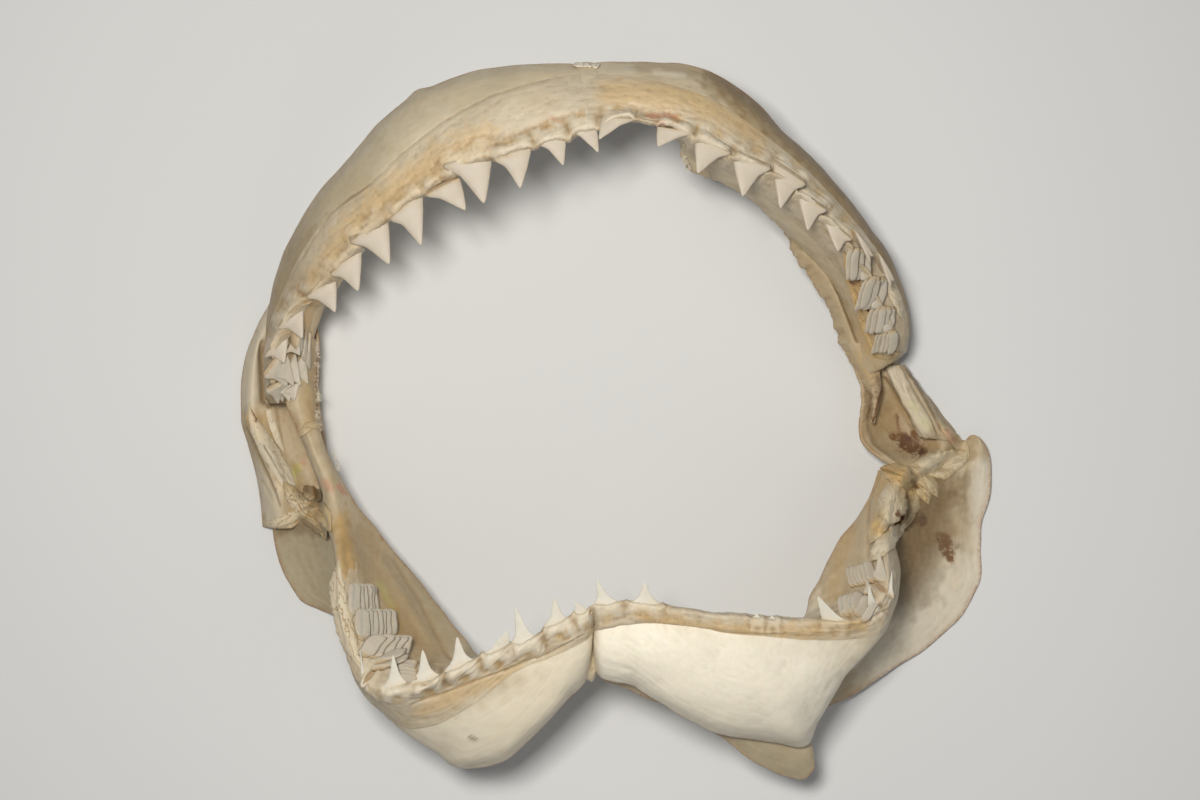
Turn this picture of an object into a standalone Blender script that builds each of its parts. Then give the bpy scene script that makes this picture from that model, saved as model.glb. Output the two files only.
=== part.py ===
"""Dried jaws of a large requiem shark, spread wide open and lying on their hinge side.

The gape faces up (+Z), the upper jaw is towards +Y and the shark's right side towards -X.
Every piece is a loft of sections that stand in planes through the axis of the gape.
A section is drawn in millimetres as (radius from that axis, height above the floor).
"""

import math
from collections import namedtuple

import bmesh
import bpy
import numpy as np
from mathutils import Matrix, Vector

MM = 0.001
GAP = 0.4                 # space left between touching pieces
GAPE_AXIS = (-8.3, 11.1)  # where the gape's axis stands from the middle of the whole jaw
FLOOR = 2.2               # height in the sections of the floor, which flattens the lowest edges
STEP_DEG = 3.6            # sweep between two sections of a loft

# Walls of the dried cartilage: at the free edges, on the outer face and on the inner face.
EDGE_WALL = 2.4
OUTER_WALL = 4.6
INNER_WALL = 4.4
INNER_BULGE = 2.5         # how far the inner face swells between the tooth crest and its edge
SHARPEST_CREST = 0.24     # sine of half the narrowest crest, which limits the depth of its fill
SHARP_EDGE = 50           # degrees between faces from which an edge is shaded sharp
LIGAMENT_DIP = 1.0        # how far the ligament's crest dips below the crests beside it

# Points of a section's curve from each of its ten drawn points to the next. The third of those
# is the crest.
SPANS = (3, 3, 3, 3, 1, 1, 1, 1, 1, 1)
CREST_INDEX = sum(SPANS[:2])

# One section: angle about the gape, then the radius and height of the outer edge, of the crest
# that carries the teeth and of the inner edge, then the swell of the outer face and the depth of
# gum that stands on the crest. The crest includes that gum.
Section = namedtuple("Section", "angle outer_r outer_z crest_r crest_z inner_r inner_z swell gum")

UPPER_LEFT = (
    Section(93.6, 158, 88, 120, 118, 132, 84, 3, 9),
    Section(106, 163, 85, 119, 116, 133, 79, 4, 10),
    Section(121, 169, 75, 123, 108, 136, 69, 5, 10),
    Section(136, 168, 60, 127, 96, 138, 55, 6, 10),
    Section(151, 170, 40, 135, 80, 142, 38, 5, 10),
    Section(164, 172, 14, 147, 62, 148, 29, 4, 13),
    Section(173, 180, 4, 155, 50, 143, 26, 7, 19),
    Section(180, 181, 3.5, 159, 22, 140, 25, 14, 0),
    Section(190, 179, 3.5, 160, 12, 141, 22, 15, 0),
    Section(200.6, 182, 5, 168, 15, 157, 17, 9, 0),
)
UPPER_RIGHT = (
    Section(91.4, 158, 88, 124, 118, 131, 84, 3, 9),
    Section(76, 162, 86, 127, 117, 125, 77, 4, 10),
    Section(62, 159, 76, 127, 111, 119, 66, 5, 10),
    Section(47, 155, 62, 134, 99, 120, 52, 5, 10),
    Section(33, 157, 44, 139, 83, 119, 38, 5, 10),
    Section(20, 160, 22, 142, 66, 121, 26, 4, 13),
    Section(11, 159, 9, 146, 52, 124, 20, 4, 17),
    Section(4, 156, 4, 142, 20, 130, 24, 6, 0),
    Section(-3, 174, 3.5, 146, 12, 132, 24, 12, 0),
    Section(-5.6, 183, 4, 150, 11, 133, 23, 12, 0),
    Section(-9, 172, 6, 153, 11, 135, 20, 8, 0),
    Section(-13, 161, 10, 156, 12, 151, 13, 1, 0),
)
LOWER_RIGHT = (
    Section(-90.9, 130, 92, 97, 112, 105, 86, 2, 8),
    Section(-76, 153, 83, 96, 112, 104, 84, 4, 8),
    Section(-66, 190, 62, 106, 110, 114, 78, 11, 8),
    Section(-61, 208, 48, 114, 108, 121, 72, 14, 8),
    Section(-55, 192, 34, 123, 105, 132, 62, 16, 8),
    Section(-47, 196, 16, 141, 100, 148, 46, 15, 8),
    Section(-38, 206, 5, 162, 94, 138, 38, -4, 9),
    Section(-30, 213, 3.5, 158, 82, 136, 34, -10, 8),
    Section(-20, 206, 3.5, 146, 60, 141, 30, -11, 0),
    Section(-15.5, 203, 3.5, 153, 44, 143, 29, -8, 0),
    Section(-13, 202, 3.5, 172, 29, 167, 18, -4, 0),
    Section(-9.5, 201, 4, 184, 20, 180, 12, -1, 0),
    Section(-6.5, 195, 5, 189, 13, 187, 9, 0, 0),
)
LOWER_LEFT = (
    Section(267.4, 130, 92, 101, 112, 109, 86, 2, 8),
    Section(258, 164, 84, 107, 110, 114, 80, 6, 8),
    Section(251, 184, 70, 120, 107, 127, 70, 9, 8),
    Section(245, 188, 58, 134, 104, 138, 54, 10, 8),
    Section(239, 182, 58, 152, 100, 133, 46, 7, 8),
    Section(233, 180, 44, 169, 95, 129, 40, 4, 9),
    Section(226, 175, 24, 166, 88, 126, 36, 0, 9),
    Section(218, 173, 8, 155, 78, 127, 34, -5, 8),
    Section(210, 182, 3.5, 147, 66, 128, 32, -12, 0),
    Section(203.4, 179, 3.5, 144, 57, 130, 36, -14, 0),
    Section(201, 152, 41, 144, 52, 131, 41, 0, 0),
    Section(190, 151, 42, 146, 48, 138, 41, 0, 0),
    Section(184.5, 152, 41, 148, 44, 142, 41, 0, 0),
)

# Gum: how many of an outline's points it covers from the crest down the outer and the inner face,
# the thickness of its feathered edges, and its swell between them.
Gum = namedtuple("Gum", "outer_points inner_points feather swell")
UPPER_GUM = Gum(3, 2, 1.3, 1.4)
LOWER_GUM = Gum(1, 3, 1.3, 1.2)

# One tooth: angle of its base, how far the base stands outward of the crest, length of the crown,
# width of the base, sideways lean of the tip, and the turn of the blade about its own axis.
Tooth = namedtuple("Tooth", "angle set_out length width lean turn")
TOOTH_THICK = 0.34        # thickness of a crown's base, as a share of its width
TOOTH_ROOT = 3.5          # length of the root below a crown's base
ROOT_SHAPE = (0.72, 0.9)  # width and thickness of the root's end, as shares of the base's
WAIST = 0.42              # how far up the crown its waist stands, as a share of its length
WAIST_SHAPE = (0.46, 0.72)
TOOTH_SINK = 1.8          # depth of the crown's base under the gum's crest
TOOTH_RISE = 8.0          # degrees that the crowns rise from the plane of the gape

UPPER_LEFT_TEETH = (
    Tooth(96.9, 0, 11, 12, -4, 0),
    Tooth(101.6, 0, 13, 15, -2, 0),
    Tooth(109.3, 0, 15, 17, 2, 0),
    Tooth(118.2, 1, 20, 21, 4, 0),
    Tooth(125.2, 0, 11, 14, 1, 0),
    Tooth(134.6, 0, 17, 16, 8, 0),
    Tooth(143.4, 0, 14, 16, 8, 0),
    Tooth(151.5, 0, 12, 15, 9, 0),
    Tooth(158.1, 0, 10, 13, 8, 15),
    Tooth(163.9, 2, 7, 11, 9, 25),
    Tooth(168.6, 4, 5, 11, 10, 30),
)
UPPER_RIGHT_TEETH = (
    Tooth(87.2, 0, 9, 14, 6, 0),
    Tooth(75.0, 0, 10, 15, 4, 0),
    Tooth(66.3, 0, 16, 17, 1, 0),
    Tooth(58.0, 0, 16, 18, -6, 0),
    Tooth(49.5, 0, 12, 14, -5, 0),
    Tooth(43.6, 0, 11, 14, -8, -10),
    Tooth(37.0, 0, 9, 13, -10, -25),
    Tooth(31.6, 2, 5, 12, -11, -50),
    Tooth(25.9, 4, 4, 11, -11, -60),
)
LOWER_LEFT_TEETH = (
    Tooth(264.6, 0, 9.5, 7, -2, 0),
    Tooth(259.2, 0, 14.5, 12, -4, 0),
    Tooth(253.0, 0, 15.5, 13, -9, 0),
    Tooth(247.4, 0, 13.5, 12, 1, 0),
    Tooth(242.4, 0, 14.5, 14, -7, 0),
    Tooth(238.5, 0, 15.5, 13, -9, 0),
    Tooth(234.6, 0, 14.5, 10, -9, 20),
    Tooth(230.9, 1, 13.5, 9, -12, 55),
)
LOWER_RIGHT_TEETH = (
    Tooth(-86.0, 0, 13.5, 14, -3, 0),
    Tooth(-77.3, 0, 10.5, 15, 2, 0),
    Tooth(-69.2, 0, 5.5, 13, 2, 0),
    Tooth(-61.1, 0, 5.5, 13, 2, 0),
    Tooth(-53.6, 0, 5.5, 12, 2, 0),
    Tooth(-47.7, 0, 5.5, 11, 2, 0),
    Tooth(-43.0, 0, 12.5, 11, 2, 0),
    Tooth(-38.1, 0, 10.5, 9, 8, -50),
    Tooth(-33.2, 0, 7.5, 8, 7, -60),
)

# Lumps of dried joint tissue: angle, radius, height, and half sizes across, along and up.
Lump = namedtuple("Lump", "angle radius height across along up")
RIGHT_JOINT = (Lump(-10.0, 167, 22, 9, 6, 9), Lump(-9.2, 175, 28, 9, 6, 6))
LEFT_JOINT = (Lump(202.2, 158, 28, 9, 7, 9), Lump(201.8, 166, 25, 8, 6, 7))
LUMP_ROUNDS = 2

CARTILAGE = ((0.80, 0.72, 0.55, 1.0), 0.55)
GUM = ((0.72, 0.58, 0.36, 1.0), 0.50)
LIGAMENT = ((0.66, 0.54, 0.34, 1.0), 0.60)


def clear_scene():
    """Removes whatever the scene holds."""
    for obj in list(bpy.data.objects):
        bpy.data.objects.remove(obj)


def smooth_between(angles, values, at):
    """Cubic curve through the values that doesn't overshoot them."""
    gaps = np.diff(angles)
    slopes = np.diff(values) / gaps
    tangents = np.zeros(len(values))
    tangents[0], tangents[-1] = slopes[0], slopes[-1]
    for i in range(1, len(values) - 1):
        if slopes[i - 1] * slopes[i] > 0:
            before, after = 2 * gaps[i] + gaps[i - 1], gaps[i] + 2 * gaps[i - 1]
            tangents[i] = (before + after) / (before / slopes[i - 1] + after / slopes[i])
    i = int(np.clip(np.searchsorted(angles, at) - 1, 0, len(gaps) - 1))
    t = (at - angles[i]) / gaps[i]
    start, end = values[i], values[i + 1]
    rise, fall = tangents[i] * gaps[i], tangents[i + 1] * gaps[i]
    bend = t * t * (3 - 2 * t)
    return start + (end - start) * bend + rise * t * (1 - t) ** 2 - fall * t * t * (1 - t)


def section_at(sections, angle):
    """The section at any angle, between the stated ones."""
    rows = sorted(sections)
    angles = np.array([row.angle for row in rows], float)
    columns = np.array(rows, float).T[1:]
    return Section(angle, *(smooth_between(angles, column, angle) for column in columns))


def sweep_angles(sections):
    """Evenly spread angles from the first section to the last."""
    first, last = sections[0].angle, sections[-1].angle
    count = math.ceil(abs(last - first) / STEP_DEG)
    return [first + (last - first) * i / count for i in range(count + 1)]


def across(start, end):
    """Unit vector that points out of the face that runs from start to end."""
    run = end - start
    return np.array((run[1], -run[0])) / np.hypot(*run)


def spline(points, counts):
    """Points of a closed centripetal curve through the given ones, with a count for each span."""
    found = []
    size = len(points)
    for i, count in enumerate(counts):
        p0, p1, p2, p3 = (points[(i + k) % size] for k in (-1, 0, 1, 2))
        t1 = np.hypot(*(p1 - p0)) ** 0.5
        t2 = t1 + np.hypot(*(p2 - p1)) ** 0.5
        t3 = t2 + np.hypot(*(p3 - p2)) ** 0.5
        for k in range(count):
            t = t1 + (t2 - t1) * k / count
            a = p0 + (p1 - p0) * t / t1
            b = p1 + (p2 - p1) * (t - t1) / (t2 - t1)
            c = p2 + (p3 - p2) * (t - t2) / (t3 - t2)
            d = a + (b - a) * t / t2
            e = b + (c - b) * (t - t1) / (t3 - t1)
            found.append(d + (e - d) * (t - t1) / (t2 - t1))
    return found


def offset_outline(points, distance):
    """The closed outline moved outward by the distance."""
    size = len(points)
    area = sum(points[i - 1][0] * points[i][1] - points[i][0] * points[i - 1][1] for i in range(size))
    turn = -1 if area < 0 else 1
    moved = []
    for i in range(size):
        normal = across(points[i - 1], points[i]) + across(points[i], points[(i + 1) % size])
        normal /= max(np.hypot(*normal), 1e-9)
        moved.append(points[i] + turn * distance * normal)
    return moved


def key_points(section):
    """Outer edge, outer face, cartilage crest, inner face and inner edge, with the gum's crest."""
    outer = np.array((section.outer_r, section.outer_z))
    top = np.array((section.crest_r, section.crest_z))
    inner = np.array((section.inner_r, section.inner_z))
    up = top - (outer + inner) / 2
    crest = top - up / np.hypot(*up) * section.gum
    face = (outer + crest) / 2 + section.swell * across(outer, crest)
    lining = (crest + inner) / 2 + INNER_BULGE * across(crest, inner)
    return outer, face, crest, lining, inner, top


def cartilage_outline(section):
    """The closed outline of the cartilage."""
    outer, face, crest, lining, inner, _ = key_points(section)
    out_normal, in_normal = across(outer, crest), across(crest, inner)
    middle = (out_normal + in_normal) / 2
    sharpness = max(np.hypot(*middle), SHARPEST_CREST)
    fill = (OUTER_WALL + INNER_WALL) / 2 / sharpness
    points = [outer, face, crest, lining, inner]
    points.append(inner - EDGE_WALL * in_normal)
    points.append(lining - INNER_WALL * in_normal)
    points.append(crest - fill * middle / np.hypot(*middle))
    points.append(face - OUTER_WALL * out_normal)
    points.append(outer - EDGE_WALL * out_normal)
    return spline(points, SPANS)


def gum_outline(section, gum):
    """The closed outline of the gum that stands on the crest: its bed first, then its top."""
    outline = cartilage_outline(section)
    lifted = offset_outline(outline, GAP)
    feathered = offset_outline(outline, GAP + gum.feather)
    first, last = CREST_INDEX - gum.outer_points, CREST_INDEX + gum.inner_points
    bed = lifted[first:last + 1]
    start, end = feathered[first], feathered[last]
    top = key_points(section)[-1]
    rise = (start + top) / 2 + gum.swell * across(start, top)
    fall = (top + end) / 2 + gum.swell * across(top, end)
    return bed + [end, fall, top, rise, start]


def place(angle, point):
    """The world place, in metres, of a point of the section at that angle."""
    turn = math.radians(angle)
    x = point[0] * math.cos(turn) + GAPE_AXIS[0]
    y = point[0] * math.sin(turn) + GAPE_AXIS[1]
    return Vector((x, y, max(point[1] - FLOOR, 0.0))) * MM


def loft(angles, outlines):
    """A closed mesh through outlines of equally many points, one at each angle."""
    mesh = bmesh.new()
    rings = []
    for angle, outline in zip(angles, outlines):
        rings.append([mesh.verts.new(place(angle, point)) for point in outline])
    size = len(rings[0])
    for ring, after in zip(rings, rings[1:]):
        for j in range(size):
            k = (j + 1) % size
            mesh.faces.new((ring[j], after[j], after[k]))
            mesh.faces.new((ring[j], after[k], ring[k]))
    mesh.faces.new(rings[0])
    mesh.faces.new(rings[-1][::-1])
    bmesh.ops.recalc_face_normals(mesh, faces=mesh.faces)
    return mesh


def new_object(name, mesh, finish):
    """An object of the mesh, smooth where it is round, in its own material."""
    data = bpy.data.meshes.new(name)
    mesh.to_mesh(data)
    mesh.free()
    data.shade_smooth()
    data.set_sharp_from_angle(angle=math.radians(SHARP_EDGE))
    colour, roughness = finish
    material = bpy.data.materials.new(name)
    material.use_nodes = True
    shader = material.node_tree.nodes["Principled BSDF"]
    shader.inputs["Base Color"].default_value = colour
    shader.inputs["Roughness"].default_value = roughness
    shader.inputs["Metallic"].default_value = 0.0
    data.materials.append(material)
    obj = bpy.data.objects.new(name, data)
    bpy.context.scene.collection.objects.link(obj)
    return obj


def cartilage(name, sections, grow=0.0):
    """One half of a jaw. Grown outlines make the cutter that clears its neighbours."""
    angles = sweep_angles(sections)
    outlines = [cartilage_outline(section_at(sections, angle)) for angle in angles]
    if grow:
        outlines = [offset_outline(outline, grow) for outline in outlines]
    return new_object(name, loft(angles, outlines), CARTILAGE)


def boolean(obj, other, operation):
    """Adds the Boolean of one object with another, which is then left out of the model."""
    modifier = obj.modifiers.new(other.name, "BOOLEAN")
    modifier.operation = operation
    modifier.object = other
    modifier.solver = "EXACT"
    other.hide_render = True
    other.display_type = "WIRE"


def crown(tooth, sections):
    """A four-sided crown, wide at its base and set into the gum."""
    outer, _, crest, _, _, top = key_points(section_at(sections, tooth.angle))
    slope = (outer - top) / np.hypot(*(outer - top))
    down = (crest - top) / np.hypot(*(crest - top))
    base = place(tooth.angle, top + tooth.set_out * slope + TOOTH_SINK * down)
    turn = math.radians(tooth.angle)
    rise = math.radians(TOOTH_RISE)
    inward = Vector((-math.cos(turn) * math.cos(rise), -math.sin(turn) * math.cos(rise), math.sin(rise)))
    along = Vector((-math.sin(turn), math.cos(turn), 0.0))
    axis = (inward * tooth.length + along * tooth.lean).normalized()
    side = Matrix.Rotation(math.radians(tooth.turn), 3, axis) @ (along - axis * along.dot(axis)).normalized()
    face = axis.cross(side)
    length = math.hypot(tooth.length, tooth.lean)
    rings = []
    shapes = ((-TOOTH_ROOT, ROOT_SHAPE), (0.0, (1.0, 1.0)), (WAIST * length, WAIST_SHAPE))
    for place_along, (wide, thick) in shapes:
        centre = base + axis * place_along * MM
        half_wide = side * (tooth.width / 2 * wide * MM)
        half_thick = face * (tooth.width / 2 * TOOTH_THICK * thick * MM)
        rings.append([centre - half_wide, centre - half_thick, centre + half_wide, centre + half_thick])
    return rings, base + axis * length * MM


def add_crown(mesh, rings, tip):
    """Adds one closed crown to the mesh."""
    loops = [[mesh.verts.new(point) for point in ring] for ring in rings]
    mesh.faces.new(loops[0])
    for low, high in zip(loops, loops[1:]):
        for j in range(len(low)):
            k = (j + 1) % len(low)
            mesh.faces.new((low[j], high[j], high[k]))
            mesh.faces.new((low[j], high[k], low[k]))
    point = mesh.verts.new(tip)
    for j in range(len(loops[-1])):
        mesh.faces.new((loops[-1][j], point, loops[-1][(j + 1) % len(loops[-1])]))


def gum_with_teeth(name, sections, gum, teeth):
    """The gum along one half of a jaw, with its teeth grown into it."""
    angles = [a for a in sweep_angles(sections) if section_at(sections, a).gum > gum.swell]
    outlines = [gum_outline(section_at(sections, angle), gum) for angle in angles]
    band = new_object(name, loft(angles, outlines), GUM)
    for i, tooth in enumerate(teeth):
        mesh = bmesh.new()
        add_crown(mesh, *crown(tooth, sections))
        bmesh.ops.recalc_face_normals(mesh, faces=mesh.faces)
        boolean(band, new_object(f"{name}_crown_{i + 1}", mesh, GUM), "UNION")
    return band


def symphysis(name, sections, from_angle, to_angle):
    """The ligament that joins the two halves of a jaw, as deep as the gum beside it."""
    section = sections[0]
    outline = cartilage_outline(section._replace(gum=0))
    outline[CREST_INDEX] = outline[CREST_INDEX] - np.array((0.0, LIGAMENT_DIP))
    return new_object(name, loft((from_angle, to_angle), (outline, outline)), LIGAMENT)


def joint_tissue(name, lumps, neighbours):
    """Lumps of tissue dried onto the joint, shaped to the cartilages that they lie between."""
    pieces = []
    for i, lump in enumerate(lumps):
        mesh = bmesh.new()
        bmesh.ops.create_icosphere(mesh, subdivisions=LUMP_ROUNDS, radius=1.0)
        size = Matrix.Diagonal((lump.across * MM, lump.along * MM, lump.up * MM, 1.0))
        turn = Matrix.Rotation(math.radians(lump.angle), 4, "Z")
        where = Matrix.Translation(place(lump.angle, (lump.radius, lump.height)))
        mesh.transform(where @ turn @ size)
        pieces.append(new_object(name if i == 0 else f"{name}_lump_{i}", mesh, LIGAMENT))
    for piece in pieces[1:]:
        boolean(pieces[0], piece, "UNION")
    for neighbour in neighbours:
        boolean(pieces[0], cartilage(f"{name}_room", neighbour, GAP), "DIFFERENCE")
    return pieces[0]


def main():
    clear_scene()
    cartilage("upper_left_cartilage", UPPER_LEFT)
    cartilage("upper_right_cartilage", UPPER_RIGHT)
    cartilage("lower_left_cartilage", LOWER_LEFT)
    cartilage("lower_right_cartilage", LOWER_RIGHT)
    gum_with_teeth("upper_left_gum_teeth", UPPER_LEFT, UPPER_GUM, UPPER_LEFT_TEETH)
    gum_with_teeth("upper_right_gum_teeth", UPPER_RIGHT, UPPER_GUM, UPPER_RIGHT_TEETH)
    gum_with_teeth("lower_left_gum_teeth", LOWER_LEFT, LOWER_GUM, LOWER_LEFT_TEETH)
    gum_with_teeth("lower_right_gum_teeth", LOWER_RIGHT, LOWER_GUM, LOWER_RIGHT_TEETH)
    symphysis("upper_symphysis", UPPER_LEFT, 93.4, 91.6)
    symphysis("lower_symphysis", LOWER_LEFT, 267.6, 268.9)
    joint_tissue("left_joint_tissue", LEFT_JOINT, (UPPER_LEFT, LOWER_LEFT))
    joint_tissue("right_joint_tissue", RIGHT_JOINT, (UPPER_RIGHT, LOWER_RIGHT))


main()
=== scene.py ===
"""Dried, wide-open jaws of a large requiem shark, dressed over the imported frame.

The jaws lie on their hinge side with the gape up. Shapes are drawn in the gape's own terms: an
angle about the gape's axis, a seen radius from it in picture units and a height in millimetres.
The picture is 1200 by 800 units, with the gape's axis at its middle. Angles start at its right
and run anticlockwise, in degrees. Left and right are the viewer's.
"""

import logging
import math
from dataclasses import dataclass, field, replace
from enum import Enum
from typing import ClassVar, Iterable, Sequence

import bpy
import numpy as np
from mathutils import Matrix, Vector


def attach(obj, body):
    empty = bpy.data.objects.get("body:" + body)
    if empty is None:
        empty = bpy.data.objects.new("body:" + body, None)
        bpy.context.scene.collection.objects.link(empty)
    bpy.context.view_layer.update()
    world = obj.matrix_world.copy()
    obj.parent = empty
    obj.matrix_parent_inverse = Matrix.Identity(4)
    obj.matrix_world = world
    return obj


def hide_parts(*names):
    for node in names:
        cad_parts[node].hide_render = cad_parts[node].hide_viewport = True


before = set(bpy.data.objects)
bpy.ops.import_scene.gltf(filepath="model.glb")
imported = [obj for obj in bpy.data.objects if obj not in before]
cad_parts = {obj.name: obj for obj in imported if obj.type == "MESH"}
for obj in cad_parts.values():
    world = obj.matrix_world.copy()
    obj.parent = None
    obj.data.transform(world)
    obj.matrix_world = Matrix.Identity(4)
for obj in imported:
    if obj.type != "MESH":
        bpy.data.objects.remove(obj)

logging.basicConfig(level=logging.INFO, format="%(message)s")
LOG = logging.getLogger("shark_jaws")

MM = 0.001  # metres
PICTURE = (1200, 800)
GAPE_AXIS = np.array((-8.3, 11.1))  # mm, where the gape's axis stands
GAPE_SEEN = np.array((600.0, 400.0))  # where the picture shows it
FLOOR = 2.2  # mm, height of the floor in the drawn heights
EYE = 1060.0  # mm, height of the camera in the drawn heights
UNIT = 0.00048  # mm of width for one picture unit and one mm of distance
GAPE_HEIGHT = 60.0  # mm, about the middle of the drawn heights
BODY = "root"

Array = np.ndarray
Place = tuple[float, float]
Row = tuple
Socket = bpy.types.NodeSocket
Tree = bpy.types.NodeTree
Material = bpy.types.Material
Thing = bpy.types.Object
Colour = tuple[float, float, float, float]


# ---- measures


def unit_at(height: Array | float) -> Array | float:
    """Millimetres that one picture unit spans at a drawn height."""
    return UNIT * (EYE - height)


def world_of(x: float, y: float, height: float) -> Array:
    """World place, in millimetres, of one picture place at a drawn height."""
    return world_at(np.array((x, y), float), np.array(float(height)))


def world_at(seen: Array, height: Array) -> Array:
    """World places, in millimetres, of picture places at their drawn heights."""
    flat = (seen - GAPE_SEEN) * (1.0, -1.0) * unit_at(height)[..., None] + GAPE_AXIS
    return np.concatenate((flat, (height - FLOOR)[..., None]), axis=-1)


def turned(curves: Array, turn: Array) -> Array:
    """World points, in millimetres, of radii and drawn heights turned about the gape's axis.

    Args:
        curves: Radius and drawn height of each point.
        turn: Its angle, in radians.

    Returns:
        The world points.
    """
    x = curves[..., 0] * np.cos(turn) + GAPE_AXIS[0]
    y = curves[..., 0] * np.sin(turn) + GAPE_AXIS[1]
    return np.stack((x, y, curves[..., 1] - FLOOR), axis=-1)


def seen_of(points: Array) -> Array:
    """Picture places of world points in millimetres.

    Args:
        points: The world points.

    Returns:
        Their picture places.
    """
    size = unit_at(points[..., 2] + FLOOR)[..., None]
    flat = (points[..., :2] - GAPE_AXIS) / size
    return flat * (1.0, -1.0) + GAPE_SEEN


def smooth_between(knots: Array, values: Array, at: Array) -> Array:
    """Cubic curves through the values that don't overshoot them.

    Args:
        knots: Increasing places of the values.
        values: One value or array for each knot.
        at: Places to read.

    Returns:
        The values there.
    """
    shape = (-1,) + (1,) * (values.ndim - 1)
    gaps = np.diff(knots).reshape(shape)
    slopes = np.diff(values, axis=0) / gaps
    tangents = np.zeros_like(values)
    tangents[0], tangents[-1] = slopes[0], slopes[-1]
    before, after = 2 * gaps[1:] + gaps[:-1], gaps[1:] + 2 * gaps[:-1]
    same = slopes[:-1] * slopes[1:] > 0
    first = np.where(same, slopes[:-1], 1.0)
    second = np.where(same, slopes[1:], 1.0)
    tangents[1:-1] = np.where(same, (before + after) / (before / first + after / second), 0.0)
    i = np.clip(np.searchsorted(knots, at, side="right") - 1, 0, len(knots) - 2)
    gap = gaps[i]
    t = (at - knots[i]).reshape(shape) / gap
    bend = t * t * (3 - 2 * t)
    rise, fall = tangents[i] * gap, tangents[i + 1] * gap
    return values[i] + (values[i + 1] - values[i]) * bend + rise * t * (1 - t) ** 2 - fall * t * t * (1 - t)


def curve_through(points: Array, counts: Sequence[int]) -> Array:
    """Centripetal curves through rows of points.

    Args:
        points: Rows of points, shaped (rows, points, 2).
        counts: Samples for each span between two points.

    Returns:
        The samples, shaped (rows, samples, 2), with both ends.
    """
    first = 2 * points[:, :1] - points[:, 1:2]
    last = 2 * points[:, -1:] - points[:, -2:-1]
    p = np.concatenate((first, points, last), axis=1)
    found = []
    for k, count in enumerate(counts):
        p0, p1, p2, p3 = (p[:, k + i] for i in range(4))
        t1 = np.linalg.norm(p1 - p0, axis=1, keepdims=True) ** 0.5 + 1e-6
        t2 = t1 + np.linalg.norm(p2 - p1, axis=1, keepdims=True) ** 0.5 + 1e-6
        t3 = t2 + np.linalg.norm(p3 - p2, axis=1, keepdims=True) ** 0.5 + 1e-6
        for j in range(count):
            t = t1 + (t2 - t1) * j / count
            a = p0 + (p1 - p0) * t / t1
            b = p1 + (p2 - p1) * (t - t1) / (t2 - t1)
            c = p2 + (p3 - p2) * (t - t2) / (t3 - t2)
            d = a + (b - a) * t / t2
            e = b + (c - b) * (t - t1) / (t3 - t1)
            found.append(d + (e - d) * (t - t1) / (t2 - t1))
    found.append(points[:, -1])
    return np.stack(found, axis=1)


@dataclass(frozen=True)
class Noise:
    """Smooth random lumps in space: size of the largest in mm, octaves and seed."""

    size: float
    octaves: int = 3
    seed: int = 1

    def _layer(self, points: Array, seed: int) -> Array:
        """One octave of gradient noise, from -1 to 1.

        Args:
            points: Places, in cells of the noise.
            seed: Seed of this octave.

        Returns:
            The noise at each place.
        """
        rng = np.random.default_rng(seed)
        order = rng.permutation(256)
        slopes = rng.normal(size=(256, 3))
        slopes /= np.linalg.norm(slopes, axis=1, keepdims=True)
        cell = np.floor(points).astype(np.int64)
        part = points - cell
        fade = part * part * part * (part * (part * 6 - 15) + 10)
        total = np.zeros(points.shape[:-1])
        for corner in np.ndindex(2, 2, 2):
            at = cell + corner
            index = order[(order[(order[at[..., 0] & 255] + at[..., 1]) & 255] + at[..., 2]) & 255]
            dot = (slopes[index] * (part - corner)).sum(-1)
            weight = np.prod(np.where(corner, fade, 1 - fade), axis=-1)
            total += weight * dot
        return total * 1.6

    def at(self, points: Array, stretch: Sequence[float] = (1, 1, 1)) -> Array:
        """The noise at points.

        Args:
            points: Points in millimetres.
            stretch: How far the lumps are drawn out along each axis.

        Returns:
            Values of about -1 to 1.
        """
        scaled = points / (self.size * np.array(stretch, float))
        total, weight = np.zeros(points.shape[:-1]), 1.0
        for i in range(self.octaves):
            total += weight * self._layer(scaled * 2**i + 17.3 * i, self.seed * 13 + i)
            weight *= 0.5
        return total


# ---- drawn tables


def read(table: str) -> list[tuple[list[str], tuple[tuple[float, ...], ...]]]:
    """Reads a drawn table.

    Args:
        table: Entries on lines of their own or between semicolons, each a head of words, a colon
            and points between commas.

    Returns:
        The words and the points of each entry.
    """
    found = []
    for entry in filter(str.strip, table.replace(";", "\n").split("\n")):
        head, points = entry.split(":")
        numbers = tuple(tuple(map(float, point.split())) for point in points.split(","))
        found.append((head.split(), numbers))
    return found


def rows(table: str) -> tuple[Row, ...]:
    """Rows of a wall or a gum, with their angle as the head."""
    return tuple((float(head[0]), *points) for head, points in read(table))


class Tint(Enum):
    """What a stain leaves on the surface, each a vertex attribute of that name; some are painted shade."""

    HONEY = "honey"
    BROWN = "brown"
    PLUM = "plum"
    RED = "red"
    LIME = "lime"
    PALE = "pale"
    GREY = "grey"
    # Tan tissue, and painted shade on low parts and on sides turned from the light.
    TAN = "tan"
    # Painted shade in creases, cracks, gaps and cavities.
    SHADE = "shade"


HONEY, BROWN, PLUM, RED, LIME, PALE, GREY, TAN, SHADE = Tint
TINTS = tuple(tint.value for tint in Tint)
# The brown rim, and the dent: painted shade in the hollows.
EXTRAS = ("rim", "dent")


def distance_to(path: Sequence[Place], seen: Array) -> Array:
    """Distance of picture places from a line.

    Args:
        path: The line's places, or a single spot.
        seen: Picture places, in the last axis.

    Returns:
        The distances in picture units.
    """
    line = np.array(path, float)
    if len(line) == 1:
        return np.linalg.norm(seen - line[0], axis=-1)
    best = np.full(seen.shape[:-1], np.inf)
    for a, b in zip(line, line[1:]):
        run = b - a
        share = np.clip(((seen - a) @ run) / (run @ run), 0, 1)
        best = np.minimum(best, np.linalg.norm(seen - a - share[..., None] * run, axis=-1))
    return best


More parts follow.
